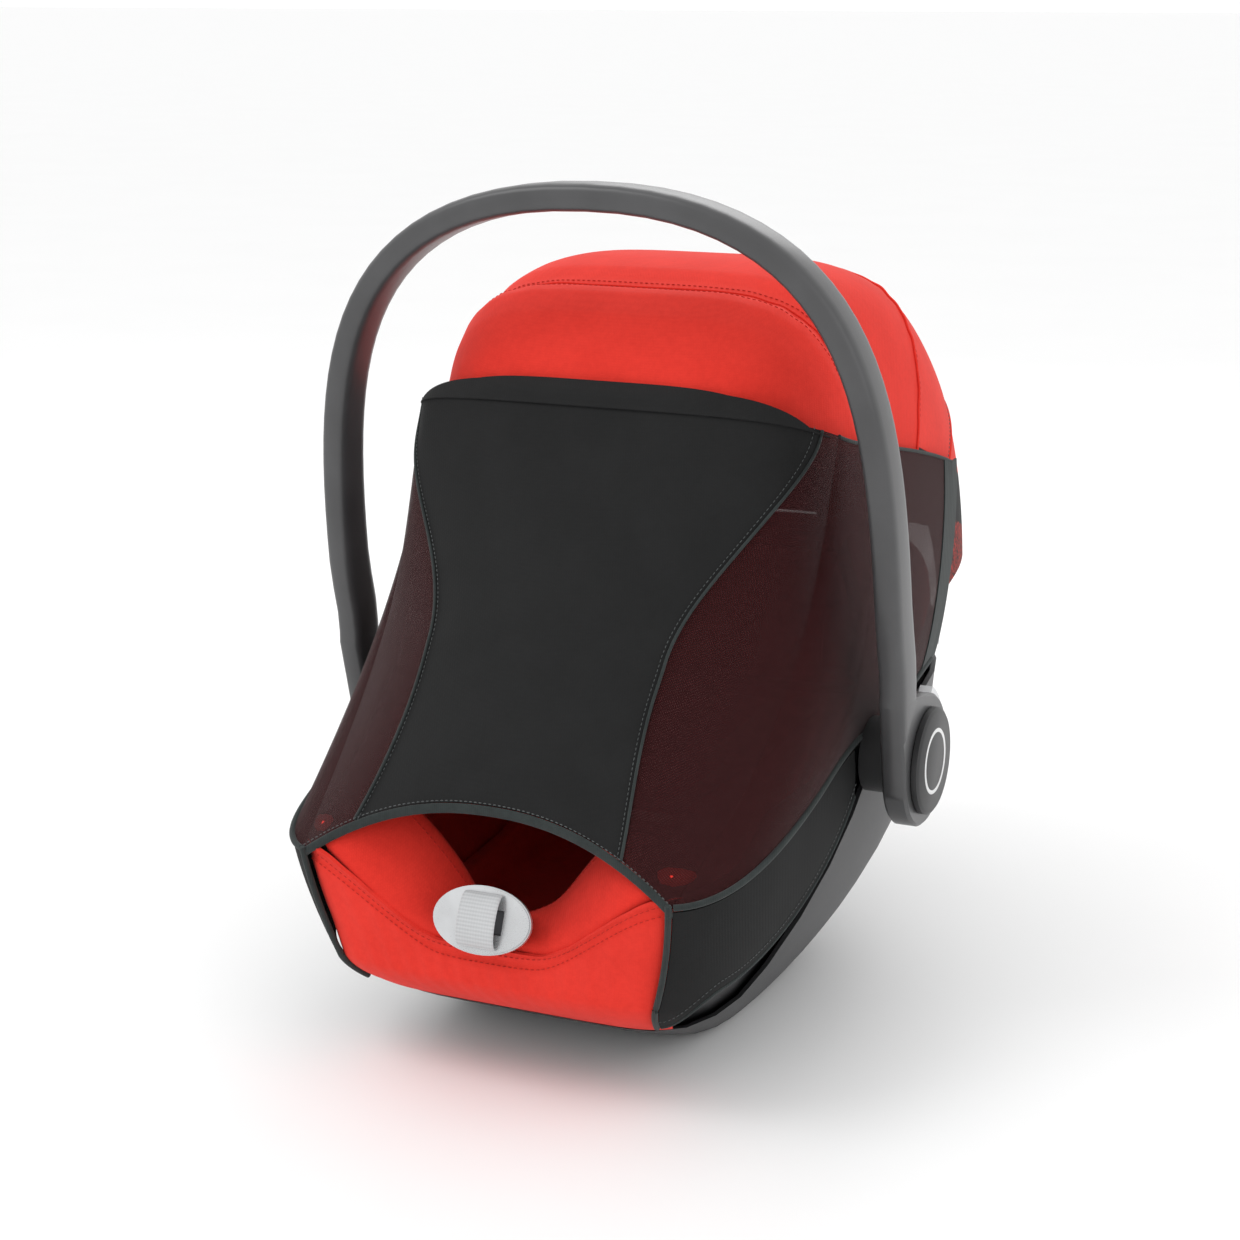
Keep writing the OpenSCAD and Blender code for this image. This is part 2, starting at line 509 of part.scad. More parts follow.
module headrest_lever() color([0.65, 0.66, 0.67]) at_head() {
  top = head_low + head_h + head_lever_travel + 0.5;
  translate([-30, head_d - head_frame_t, top]) cube([60, head_frame_t, 7]);
  for (s = [-1, 1]) translate([s * 22, head_d - head_frame_t / 2, top - lever_pin_l + head_lever_travel + 1])
    cylinder(r = lever_pin_r, h = lever_pin_l - head_lever_travel);
}
module headrest_pad() color([0.72, 0.10, 0.07]) at_head() translate([0, 0, head_low + 3]) linear_extrude(head_h - 6)
  u_band(head_w - head_frame_t - 0.6, head_d - head_frame_t - 0.6, head_pad_t);

// ---- harness ----
buckle_tilt = 30;
buckle_d = 20;
buckle_h = 46;
buckle_at = [0, datum_y - 20, inlay_floor + 0.7 * inlay_t + 7.5];
slot_t = 3;
slot_gap = 0.5;
tongue_w = 16;
tongue_deep = 26;
tongue_out = 9;
press_r = 10;
press_travel = 3;
module at_buckle() translate(buckle_at) rotate([-buckle_tilt, 0, 0]) children();
module buckle_body() color([0.10, 0.10, 0.105]) at_buckle() difference() {
  hull() for (sx = [-1, 1]) for (sy = [-1, 1])
    translate([sx * (buckle_w / 2 - 6), sy * (buckle_d / 2 - 5), 0]) cylinder(r = 5, h = buckle_h, $fn = 32);
  translate([-tongue_w - 2, 3 - slot_gap, buckle_h - tongue_deep - 1])
    cube([2 * tongue_w + 4, slot_t + 2 * slot_gap, tongue_deep + 2]);
  translate([0, 0, buckle_h * 0.48]) rotate([90, 0, 0]) cylinder(r = press_r + 0.4, h = buckle_d);
}
module buckle_button() color([0.80, 0.10, 0.08]) at_buckle()
  translate([0, -press_travel - 0.8, buckle_h * 0.48]) rotate([90, 0, 0]) cylinder(r = press_r, h = buckle_d / 2 - press_travel);
module buckle_tongues() color([0.75, 0.76, 0.78]) at_buckle()
  for (s = [-1, 1]) translate([s > 0 ? 1 : -1 - tongue_w, 3, buckle_h - tongue_deep])
    cube([tongue_w, slot_t, tongue_deep + tongue_out]);
crotch_w = 30;
module crotch_strap() color([0.08, 0.08, 0.085]) at_buckle()
  translate([-crotch_w / 2, -2, -7.5]) cube([crotch_w, 4, 7.2]);
strap_n = 24;
strap_end = [tongue_w / 2 + 1.5, buckle_at[1] + (buckle_h + tongue_out) * sin(buckle_tilt) + 9.5,
  buckle_at[2] + (buckle_h + tongue_out) * cos(buckle_tilt) - 1.5];
strap_curve = [[42, datum_y + 226, buckle_at[2] + 81], [42, datum_y + 178, buckle_at[2] + 82],
  [36, datum_y + 76, buckle_at[2] + 56], strap_end];
strap_path = [for (i = [0:strap_n]) bez(strap_curve, i / strap_n)];
function strap_up(k) = let (t = tangent(strap_path, k)) unit(cross(t, cross([0, 0, 1], t)));
function strap_across(k) = cross(strap_up(k), tangent(strap_path, k));
module webbing(s, k0, k1, w, t, lift) {
  rows = [for (k = [k0:k1]) k];
  flip = [s, 1, 1];
  function fx(v) = [v[0] * s, v[1], v[2]];
  path = [for (k = rows) fx(strap_path[k] + strap_up(k) * lift)];
  ends = [for (k = rows) fx(strap_across(k)) * s];
  sweep(path, ends, [for (k = rows) fx(strap_up(k))], section(w, t, 8, 0.4));
}
pad_t = 8;
module shoulder_strap_left() color([0.08, 0.08, 0.085]) webbing(-1, 0, strap_n, web_w * 0.76, web_t, 0);
module shoulder_strap_right() color([0.08, 0.08, 0.085]) webbing(1, 0, strap_n, web_w * 0.76, web_t, 0);
module shoulder_pad_left() color([0.25, 0.25, 0.26]) webbing(-1, 5, 16, pad_w, pad_t, pad_t / 2 + web_t / 2 + 0.6);
module shoulder_pad_right() color([0.25, 0.25, 0.26]) webbing(1, 5, 16, pad_w, pad_t, pad_t / 2 + web_t / 2 + 0.6);

// ---- harness adjuster at the foot end ----
adjust_z = rim_z - corner_dip - foot_dip + 20;
adjust_at = [0, datum_y - front_len(adjust_z) + 3.28, adjust_z];
adjust_tilt = 68;
plate_w = 70;
plate_h = 44;
plate_t = 3.4;
adj_button_w = 30;
adj_button_h = 15;
adj_travel = 4;
adj_slack = 0.4;
adj_deep = 17;
module at_adjuster() translate(adjust_at) rotate([adjust_tilt, 0, 0]) children();
module adjuster_pocket(lo, hi) translate([-adj_button_w / 2 - adj_slack, -adj_button_h / 2 - adj_slack, lo])
  cube([adj_button_w + 2 * adj_slack, adj_button_h + 2 * adj_slack, hi - lo]);
function oval(w, h) = [for (i = [0:47]) [w / 2 * cos(7.5 * i), h / 2 * sin(7.5 * i)]];
module adjuster_plate() color([0.80, 0.81, 0.82]) at_adjuster() difference() {
  union() {
    linear_extrude(plate_t - 1) polygon(oval(plate_w, plate_h));
    linear_extrude(plate_t) polygon(oval(plate_w - 2, plate_h - 2));
  }
  adjuster_pocket(-1, plate_t + 1);
}
rim_foot_z = rim_z - corner_dip - foot_dip;
module adjuster_housing() color([0.07, 0.07, 0.075]) {
  at_adjuster() difference() {
    translate([-21, -12, -adj_deep]) cube([42, 24, adj_deep - 0.05]);
    adjuster_pocket(-adj_deep + 2, 1);
  }
  translate([-20, adjust_at[1] + 8, rim_foot_z + 0.9]) cube([40, 4, 4]);
}
module adjuster_button() color([0.45, 0.45, 0.46]) at_adjuster()
  translate([-adj_button_w / 2, -adj_button_h / 2, -9]) cube([adj_button_w, adj_button_h, 8]);
pull_w = 27;
pull_t = 1.8;
pull_path = [for (i = [0:20]) let (a = lerp(8, 172, i / 20)) [0, 17 * cos(a), plate_t + 0.4 + 7 * pow(sin(a), 0.8)]];
module adjuster_strap() color([0.74, 0.75, 0.76]) at_adjuster()
  sweep(pull_path, [for (k = [0:20]) [1, 0, 0]],
    [for (k = [0:20]) unit(cross(tangent(pull_path, k), [1, 0, 0]))], section(pull_w, pull_t, 12, 0.4));

base_shell();
seat_shell();
foam_liner();
seat_lining();
foot_cover();
newborn_inlay();
floor_pads();
latch_bars();
sole_screws();
rear_housing();
release_lever();
base_latch();
pivot_boss_left();
pivot_boss_right();
pivot_axle_left();
pivot_axle_right();
carry_handle();
handle_hub_left();
handle_hub_right();
side_protector_left();
side_protector_right();
handle_button_left();
handle_button_right();
canopy_clip_left();
canopy_clip_right();
canopy_bow_front();
canopy_bow_middle();
canopy_bow_rear();
canopy_panel_front();
canopy_panel_middle();
canopy_panel_rear();
net_centre_panel();
net_mesh_left();
net_mesh_right();
net_skirt_left();
net_skirt_right();
net_front_binding();
net_top_hem();
headrest_frame();
headrest_pad();
headrest_lever();
crotch_strap();
buckle_body();
buckle_button();
buckle_tongues();
shoulder_strap_left();
shoulder_strap_right();
shoulder_pad_left();
shoulder_pad_right();
adjuster_housing();
adjuster_plate();
adjuster_button();
adjuster_strap();
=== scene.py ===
"""Looks of an infant car seat, in metres: shells, handle, folding canopy, stretch sun net and lining."""
import json
import logging
import math
from dataclasses import dataclass, field
from enum import Enum

import bmesh
import bpy
import numpy as np
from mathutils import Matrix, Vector


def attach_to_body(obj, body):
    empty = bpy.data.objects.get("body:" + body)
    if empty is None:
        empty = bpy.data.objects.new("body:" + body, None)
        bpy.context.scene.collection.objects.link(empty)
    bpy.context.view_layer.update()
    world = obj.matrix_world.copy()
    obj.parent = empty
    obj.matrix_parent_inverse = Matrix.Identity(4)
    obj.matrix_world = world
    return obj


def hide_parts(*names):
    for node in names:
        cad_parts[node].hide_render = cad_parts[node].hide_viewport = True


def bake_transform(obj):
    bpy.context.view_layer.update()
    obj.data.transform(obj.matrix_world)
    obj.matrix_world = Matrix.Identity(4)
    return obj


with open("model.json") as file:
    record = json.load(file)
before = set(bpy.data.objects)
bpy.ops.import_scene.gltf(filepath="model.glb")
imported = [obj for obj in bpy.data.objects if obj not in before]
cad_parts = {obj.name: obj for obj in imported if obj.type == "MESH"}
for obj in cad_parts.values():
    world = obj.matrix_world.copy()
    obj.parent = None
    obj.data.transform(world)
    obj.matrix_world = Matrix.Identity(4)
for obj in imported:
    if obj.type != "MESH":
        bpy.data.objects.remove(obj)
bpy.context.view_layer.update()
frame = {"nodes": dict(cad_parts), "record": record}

LOG = logging.getLogger("car_seat")
Array = np.ndarray
MM = 1000.0  # millimetres in a metre


class Slot(Enum):
    """The record's material slots."""

    SHELL = "shell_grey"
    BLACK = "shell_black"
    FOAM = "foam"
    LINING = "lining_fabric"
    COVER = "cover_fabric"
    RUBBER = "pad_rubber"
    STEEL = "steel"
    SILVER = "silver_plastic"
    HANDLE = "handle_plastic"
    BOSS = "boss_plastic"
    CAP = "cap_plastic"
    NET = "net_black"
    MESH = "net_mesh"
    WEBBING = "webbing"
    PAD = "pad_fabric"
    BUTTON = "buckle_red"
    GREY = "button_grey"
    PULL = "pull_strap"


# ---------------------------------------------------------------- shader helpers
class Val:
    """A shader socket that takes part in Python arithmetic."""

    def __init__(self, tree: bpy.types.NodeTree, socket: bpy.types.NodeSocket) -> None:
        """Wraps one output socket of a tree."""
        self.tree, self.socket = tree, socket

    def math(self, operation: str, *others: "Val | float", swap: bool = False) -> "Val":
        """Adds one Math node.

        Args:
            operation: Blender's operation name.
            others: the remaining operands.
            swap: puts this value second.

        Returns:
            The node's result.
        """
        node = self.tree.nodes.new("ShaderNodeMath")
        node.operation = operation
        values = [self, *others]
        if swap:
            values = [values[1], values[0], *values[2:]]
        for slot, value in zip(node.inputs, values):
            put(self.tree, slot, value)
        return Val(self.tree, node.outputs[0])

    def __add__(self, o: "Val | float") -> "Val":
        """Sum."""
        return self.math("ADD", o)

    __radd__ = __add__

    def __mul__(self, o: "Val | float") -> "Val":
        """Product."""
        return self.math("MULTIPLY", o)

    __rmul__ = __mul__

    def __sub__(self, o: "Val | float") -> "Val":
        """Difference."""
        return self.math("SUBTRACT", o)

    def __rsub__(self, o: float) -> "Val":
        """Reflected difference."""
        return self.math("SUBTRACT", o, swap=True)

    def sine(self) -> "Val":
        """Sine of the value."""
        return self.math("SINE")

    def wave(self, period: float) -> "Val":
        """A 0..1 wave of the given period along this coordinate."""
        return (self * (2 * math.pi / period)).sine() * 0.5 + 0.5

    def step(self, low: float, high: float) -> "Val":
        """A smooth 0..1 ramp between two levels."""
        node = self.tree.nodes.new("ShaderNodeMapRange")
        node.interpolation_type = "SMOOTHSTEP"
        for key, value in (("Value", self), ("From Min", low), ("From Max", high)):
            put(self.tree, node.inputs[key], value)
        return Val(self.tree, node.outputs["Result"])


def put(tree: bpy.types.NodeTree, socket: bpy.types.NodeSocket, value: object) -> None:
    """Links or sets one input socket."""
    if isinstance(value, Val):
        tree.links.new(value.socket, socket)
    else:
        socket.default_value = value


class Shader:
    """Builds one procedural material."""

    def __init__(self, name: str) -> None:
        """Starts an empty node tree with a Principled surface.

        Args:
            name: the material's name.
        """
        self.material = bpy.data.materials.new(name)
        self.material.use_nodes = True
        self.tree = self.material.node_tree
        self.tree.nodes.clear()
        self.surface = self.tree.nodes.new("ShaderNodeBsdfPrincipled")
        out = self.tree.nodes.new("ShaderNodeOutputMaterial")
        self.tree.links.new(self.surface.outputs[0], out.inputs[0])

    def node(self, kind: str, settings: dict[str, object] | None = None, output: int | str = 0,
             **sockets: object) -> Val:
        """Adds any node.

        Args:
            kind: the node's type name.
            settings: attributes set before the sockets.
            output: which output is returned.
            sockets: values or links, with _ for a space in the socket's name.

        Returns:
            The chosen output.
        """
        node = self.tree.nodes.new(kind)
        for key, value in (settings or {}).items():
            setattr(node, key, value)
        for key, value in sockets.items():
            put(self.tree, node.inputs[key.replace("_", " ")], value)
        return Val(self.tree, node.outputs[output])

    def set(self, **sockets: object) -> "Shader":
        """Sets the surface's own sockets."""
        for key, value in sockets.items():
            put(self.tree, self.surface.inputs[key.replace("_", " ")], value)
        return self

    def place(self, use_uv: bool = False) -> Val:
        """Object coordinates, or the piece's own cloth map."""
        if use_uv:
            return self.node("ShaderNodeUVMap", {"uv_map": "cloth"})
        return self.node("ShaderNodeTexCoord", None, "Object")

    def split(self, vector: Val) -> tuple[Val, Val, Val]:
        """The three parts of a vector."""
        node = self.tree.nodes.new("ShaderNodeSeparateXYZ")
        put(self.tree, node.inputs[0], vector)
        return tuple(Val(self.tree, o) for o in node.outputs)

    def noise(self, vector: Val, scale: float, detail: float = 3.0, rough: float = 0.55) -> Val:
        """Fractal noise from 0 to 1."""
        return self.node("ShaderNodeTexNoise", None, "Fac", Vector=vector, Scale=scale, Detail=detail,
                         Roughness=rough)

    def blend(self, fac: Val | float, a: tuple[float, ...], b: tuple[float, ...]) -> Val:
        """Mixes two colours."""
        node = self.tree.nodes.new("ShaderNodeMix")
        node.data_type = "RGBA"
        put(self.tree, node.inputs[0], fac)
        for socket, colour in ((node.inputs[6], a), (node.inputs[7], b)):
            put(self.tree, socket, colour if isinstance(colour, Val) else (*colour, 1.0))
        return Val(self.tree, node.outputs[2])

    def bump(self, height: Val, strength: float, distance: float) -> Val:
        """A bump normal from a height."""
        return self.node("ShaderNodeBump", None, 0, Height=height, Strength=strength, Distance=distance)


@dataclass(frozen=True)
class Plastic:
    """Moulded plastic with a fine spark-eroded grain."""

    name: str
    colour: tuple[float, float, float]
    roughness: float = 0.42
    grain: float = 0.18
    metallic: float = 0.0
    coat: float = 0.0

    def build(self) -> bpy.types.Material:
        """Builds the material."""
        s = Shader(self.name)
        at = s.place()
        fine = s.noise(at, 1400.0, 2.0)
        broad = s.noise(at, 14.0, 4.0)
        dark = tuple(c * 0.86 for c in self.colour)
        light = tuple(min(1.0, c * 1.12) for c in self.colour)
        s.set(Base_Color=s.blend(broad.step(0.3, 0.7), dark, light), Metallic=self.metallic,
              Roughness=(fine - 0.5) * 0.12 + (broad - 0.5) * 0.10 + self.roughness,
              Normal=s.bump(fine, self.grain, 0.0004), Coat_Weight=self.coat)
        s.surface.inputs["Coat Roughness"].default_value = 0.2
        return s.material


@dataclass(frozen=True)
class Cloth:
    """Woven or knitted fabric with a weave, slubs and a soft sheen."""

    name: str
    dark: tuple[float, float, float]
    light: tuple[float, float, float]
    pitch: float = 0.0012
    depth: float = 0.0003
    roughness: float = 0.85
    sheen: float = 0.25
    rib: bool = False

    def build(self) -> bpy.types.Material:
        """Builds the material."""
        s = Shader(self.name)
        at = s.place()
        x, y, z = s.split(at)
        warp = (x + y * 0.35).wave(self.pitch)
        weft = (z - y * 0.5).wave(self.pitch)
        weave = warp * weft if not self.rib else warp
        slub = s.noise(at, 220.0, 4.0, 0.7)
        mottle = s.noise(at, 26.0, 4.0)
        tone = mottle.step(0.25, 0.75) * 0.45 + slub.step(0.3, 0.7) * 0.35 + weave * 0.2
        s.set(Base_Color=s.blend(tone, self.dark, self.light), Roughness=slub * 0.1 + self.roughness - 0.05,
              Normal=s.bump(weave * 0.7 + slub * 0.6, 0.35, self.depth))
        s.surface.inputs["Sheen Weight"].default_value = self.sheen
        s.surface.inputs["Sheen Roughness"].default_value = 0.5
        s.surface.inputs["Specular IOR Level"].default_value = 0.25
        return s.material


@dataclass(frozen=True)
class TwoTone:
    """Canopy fabric with a dark jersey band and a flecked knit below sewn lines."""

    name: str
    top: Cloth
    band: Cloth
    level: float = 0.356
    slope: float = 0.32
    start: float = 0.1525
    band_h: float = 0.040

    def build(self) -> bpy.types.Material:
        """Builds the material."""
        s = Shader(self.name)
        at = s.place()
        _, y, z = s.split(at)
        height = z - self.level + (y - self.start) * self.slope
        upper = height.step(-0.0004, 0.0004)
        knit = 1.0 - (height + self.band_h).step(-0.0004, 0.0004)
        mottle, slub = s.noise(at, 26.0, 4.0), s.noise(at, 220.0, 4.0, 0.7)
        tone = mottle.step(0.25, 0.75) * 0.5 + slub.step(0.3, 0.7) * 0.5
        speck = s.noise(at, 420.0, 3.0, 0.8).step(0.46, 0.54)
        flecked = s.blend(speck, (0.012, 0.010, 0.010), (0.36, 0.03, 0.02))
        low = s.blend(knit, s.blend(tone, self.band.dark, self.band.light), flecked)
        s.set(Base_Color=s.blend(upper, low, s.blend(tone, self.top.dark, self.top.light)),
              Roughness=slub * 0.1 + 0.8, Normal=s.bump(slub, 0.3, 0.0003))
        s.surface.inputs["Sheen Weight"].default_value = 0.04
        s.surface.inputs["Specular IOR Level"].default_value = 0.25
        return s.material


@dataclass(frozen=True)
class OpenMesh:
    """See-through stretch mesh: black yarn with tiny diamond holes."""

    name: str
    yarn: tuple[float, float, float]
    cover: float = 0.55
    pitch: float = 0.0022

    def build(self) -> bpy.types.Material:
        """Builds the material."""
        s = Shader(self.name)
        u, v, _ = s.split(s.place(use_uv=True))
        rows, cols = (u + v).wave(self.pitch), (u - v).wave(self.pitch)
        holes = (rows * cols).step(0.3, 0.7)
        slack = s.noise(s.place(), 9.0, 2.0)
        alpha = 1.0 - (holes * 0.30 + (1.0 - self.cover) * 0.30) * (slack * 0.2 + 0.9)
        s.set(Base_Color=s.blend(holes, self.yarn, tuple(c * 1.4 for c in self.yarn)), Roughness=0.85,
              Alpha=alpha, Normal=s.bump(rows * cols, 0.12, 0.0002))
        s.surface.inputs["Specular IOR Level"].default_value = 0.1
        s.surface.inputs["Sheen Weight"].default_value = 0.1
        return s.material


@dataclass(frozen=True)
class Webbing:
    """Flat woven strap with cross ribs."""

    name: str
    colour: tuple[float, float, float]
    pitch: float = 0.0024

    def build(self) -> bpy.types.Material:
        """Builds the material."""
        s = Shader(self.name)
        u, v, _ = s.split(s.place(use_uv=True))
        ribs = v.wave(self.pitch)
        edge = u.wave(self.pitch * 0.8)
        lift = ribs * 0.75 + edge * 0.25
        wear = s.noise(s.place(), 60.0, 4.0)
        s.set(Base_Color=s.blend(lift * 0.6 + wear * 0.4, tuple(c * 0.7 for c in self.colour), self.colour),
              Roughness=wear * 0.15 + 0.55, Normal=s.bump(lift, 0.5, 0.0004))
        s.surface.inputs["Sheen Weight"].default_value = 0.15
        return s.material


@dataclass(frozen=True)
class Brushed:
    """Brushed steel."""

    name: str

    def build(self) -> bpy.types.Material:
        """Builds the material."""
        s = Shader(self.name)
        x, y, z = s.split(s.place())
        stretched = s.node("ShaderNodeCombineXYZ", None, 0, X=x * 8.0, Y=y * 900.0, Z=z * 900.0)
        line = s.noise(stretched, 1.0, 3.0)
        s.set(Base_Color=s.blend(line, (0.42, 0.42, 0.44), (0.62, 0.62, 0.64)), Metallic=1.0,
              Roughness=line * 0.2 + 0.22, Normal=s.bump(line, 0.12, 0.0002))
        return s.material


@dataclass(frozen=True)
class Foam:
    """Moulded bead foam."""

    name: str

    def build(self) -> bpy.types.Material:
        """Builds the material."""
        s = Shader(self.name)
        cell = s.node("ShaderNodeTexVoronoi", {"feature": "DISTANCE_TO_EDGE"}, 0, Vector=s.place(),
                      Scale=260.0)
        s.set(Base_Color=s.blend(cell.step(0.0, 0.12), (0.28, 0.28, 0.29), (0.5, 0.5, 0.5)), Roughness=0.9,
              Normal=s.bump(cell, 0.4, 0.0005))
        return s.material


class Finishes:
    """Every finish on the seat, built once and found by slot."""

    def __init__(self) -> None:
        """Builds all the materials."""
        made = {
            Slot.SHELL: Plastic("shell_plastic", (0.030, 0.030, 0.032), 0.46, 0.22),
            Slot.BLACK: Plastic("black_plastic", (0.010, 0.010, 0.011), 0.5, 0.25),
            Slot.HANDLE: Plastic("handle_plastic", (0.056, 0.056, 0.058), 0.36, 0.12, coat=0.1),
            Slot.BOSS: Plastic("boss_plastic", (0.014, 0.014, 0.015), 0.5, 0.2),
            Slot.CAP: Plastic("cap_plastic", (0.016, 0.016, 0.017), 0.42, 0.1),
            Slot.SILVER: Plastic("silver_plastic", (0.62, 0.63, 0.64), 0.3, 0.05, metallic=0.75,
                                 coat=0.3),
            Slot.GREY: Plastic("grey_plastic", (0.16, 0.16, 0.17), 0.4, 0.1, metallic=0.2),
            Slot.BUTTON: Plastic("red_plastic", (0.5, 0.02, 0.014), 0.3, 0.05, coat=0.3),
            Slot.RUBBER: Plastic("pad_rubber", (0.02, 0.02, 0.02), 0.8, 0.4),
            Slot.STEEL: Brushed("brushed_steel"),
            Slot.FOAM: Foam("bead_foam"),
            Slot.COVER: Cloth("canopy_fabric", (0.66, 0.026, 0.015), (0.78, 0.038, 0.024), sheen=0.03),
            Slot.LINING: Cloth("lining_fabric", (0.60, 0.020, 0.011), (0.74, 0.032, 0.019), pitch=0.0016,
                               sheen=0.04),
            Slot.NET: Cloth("net_jersey", (0.0075, 0.0077, 0.0078), (0.0125, 0.0127, 0.013), pitch=0.0018,
                            sheen=0.01),
            Slot.MESH: OpenMesh("net_open_mesh", (0.030, 0.0058, 0.0062)),
            Slot.WEBBING: Webbing("harness_webbing", (0.03, 0.03, 0.031)),
            Slot.PULL: Webbing("pull_webbing", (0.56, 0.57, 0.58)),
            Slot.PAD: Cloth("pad_fabric", (0.09, 0.09, 0.095), (0.17, 0.17, 0.175), sheen=0.1),
        }
        self.by_slot = {slot: recipe.build() for slot, recipe in made.items()}
        self.two_tone = TwoTone("canopy_side_fabric", made[Slot.COVER], made[Slot.NET]).build()
        self.piping = Cloth("edge_binding", (0.014, 0.018, 0.018), (0.034, 0.042, 0.041), pitch=0.0014,
                            rib=True, sheen=0.1).build()
        self.thread_red = Cloth("red_thread", (0.42, 0.016, 0.010), (0.55, 0.025, 0.016),
                                pitch=0.0006, sheen=0.0).build()
        self.thread_dark = Cloth("dark_thread", (0.05, 0.055, 0.055), (0.10, 0.11, 0.11),
                                 pitch=0.0006).build()
        self.mark = Plastic("ring_mark", (0.8, 0.8, 0.8), 0.35, 0.02).build()
        LOG.info("finishes by slot: %d", len(self.by_slot))


# ---------------------------------------------------------------- numbers and meshes
def ease(v: Array | float) -> Array:
    """Smooth step from 0 to 1."""
    c = np.clip(v, 0.0, 1.0)
    return c * c * (3 - 2 * c)


def soft(v: Array | float, r: float) -> Array:
    """A ramp with a rounded foot."""
    return 0.5 * (v + np.sqrt(v * v + r * r))


def bez(p: Array, t: Array | float) -> Array:
    """Points of a cubic curve."""
    t = np.asarray(t, float)[..., None]
    p = np.asarray(p, float)
    return p[0] * (1 - t) ** 3 + 3 * p[1] * t * (1 - t) ** 2 + 3 * p[2] * t * t * (1 - t) + p[3] * t ** 3


def new_object(name: str, verts: Array, faces: list, material: bpy.types.Material,
               sharp: float = 38.0) -> bpy.types.Object:
    """Makes a smooth-shaded mesh object at the origin.

    Args:
        name: the piece's name.
        verts: points in metres.
        faces: lists of point numbers.
        material: its finish.
        sharp: edges sharper than this, in degrees, stay crisp.

    Returns:
        The new object.
    """
    mesh = bpy.data.meshes.new(name)
    mesh.from_pydata([tuple(map(float, v)) for v in verts], [], [list(map(int, f)) for f in faces])
    bm = bmesh.new()
    bm.from_mesh(mesh)
    bmesh.ops.recalc_face_normals(bm, faces=bm.faces)
    bm.to_mesh(mesh)
    bm.free()
    mesh.polygons.foreach_set("use_smooth", [True] * len(mesh.polygons))
    mesh.set_sharp_from_angle(angle=math.radians(sharp))
    mesh.materials.append(material)
    obj = bpy.data.objects.new(name, mesh)
    bpy.context.scene.collection.objects.link(obj)
    return obj


def grid_normals(g: Array) -> Array:
    """Unit normals of a grid of points."""
    n = np.cross(np.gradient(g, axis=0), np.gradient(g, axis=1))
    return n / np.maximum(np.linalg.norm(n, axis=2, keepdims=True), 1e-12)


def cloth_map(obj: bpy.types.Object, uv: Array) -> None:
    """Stores the flat position of each point, in metres, as the piece's own map."""
    layer = obj.data.uv_layers.new(name="cloth")
    index = np.zeros(len(obj.data.loops), np.int32)
    obj.data.loops.foreach_get("vertex_index", index)
    layer.data.foreach_set("uv", uv[index].astype(np.float32).ravel())


def cloth_sheet(name: str, g: Array, thick: float, material: bpy.types.Material,
                side: float = 1.0) -> bpy.types.Object:
    """A closed thin piece over a grid of points.

    Args:
        name: the piece's name.
        g: points, rows by columns by 3.
        thick: its thickness.
        material: its finish.
        side: 1 thickens along the grid's normal and -1 against it.

    Returns:
        The new object.
    """
    nu, nv = g.shape[:2]
    top = g + side * thick * grid_normals(g)
    verts = np.concatenate([g.reshape(-1, 3), top.reshape(-1, 3)])
    m = nu * nv
    faces: list = []
    for i in range(nu - 1):
        k = i + 1
        for j in range(nv - 1):
            a, b, c, d = i * nv + j, i * nv + j + 1, k * nv + j + 1, k * nv + j
            faces += [(a, b, c, d), (m + a, m + d, m + c, m + b)]
        faces += [(i * nv, k * nv, m + k * nv, m + i * nv),
                  (i * nv + nv - 1, m + i * nv + nv - 1, m + k * nv + nv - 1, k * nv + nv - 1)]
    e = (nu - 1) * nv
    for j in range(nv - 1):
        faces += [(j, m + j, m + j + 1, j + 1), (e + j, e + j + 1, m + e + j + 1, m + e + j)]
    obj = new_object(name, verts, faces, material)
    u = np.concatenate([np.zeros((1, nv)), np.cumsum(np.linalg.norm(np.diff(g, axis=0), axis=2), 0)])
    v = np.concatenate([np.zeros((nu, 1)), np.cumsum(np.linalg.norm(np.diff(g, axis=1), axis=2), 1)], 1)
    flat = np.stack([u, v], 2).reshape(-1, 2)
    cloth_map(obj, np.concatenate([flat, flat]))
    return obj


def flat_size(g: Array) -> tuple[tuple[float, float], float]:
    """The cut size of a grid of points.

    Args:
        g: points, rows by columns by 3.

    Returns:
        (width, length) and the area, in metres and square metres.
    """
    a, b, c, d = g[:-1, :-1], g[1:, :-1], g[1:, 1:], g[:-1, 1:]
    halves = (np.cross(b - a, c - a), np.cross(c - a, d - a))
    area = 0.5 * (np.linalg.norm(halves[0], axis=2) + np.linalg.norm(halves[1], axis=2)).sum()
    width = np.linalg.norm(np.diff(g, axis=0), axis=2).sum(0).max()
    length = np.linalg.norm(np.diff(g, axis=1), axis=2).sum(1).max()
    return (float(width), float(length)), float(area)


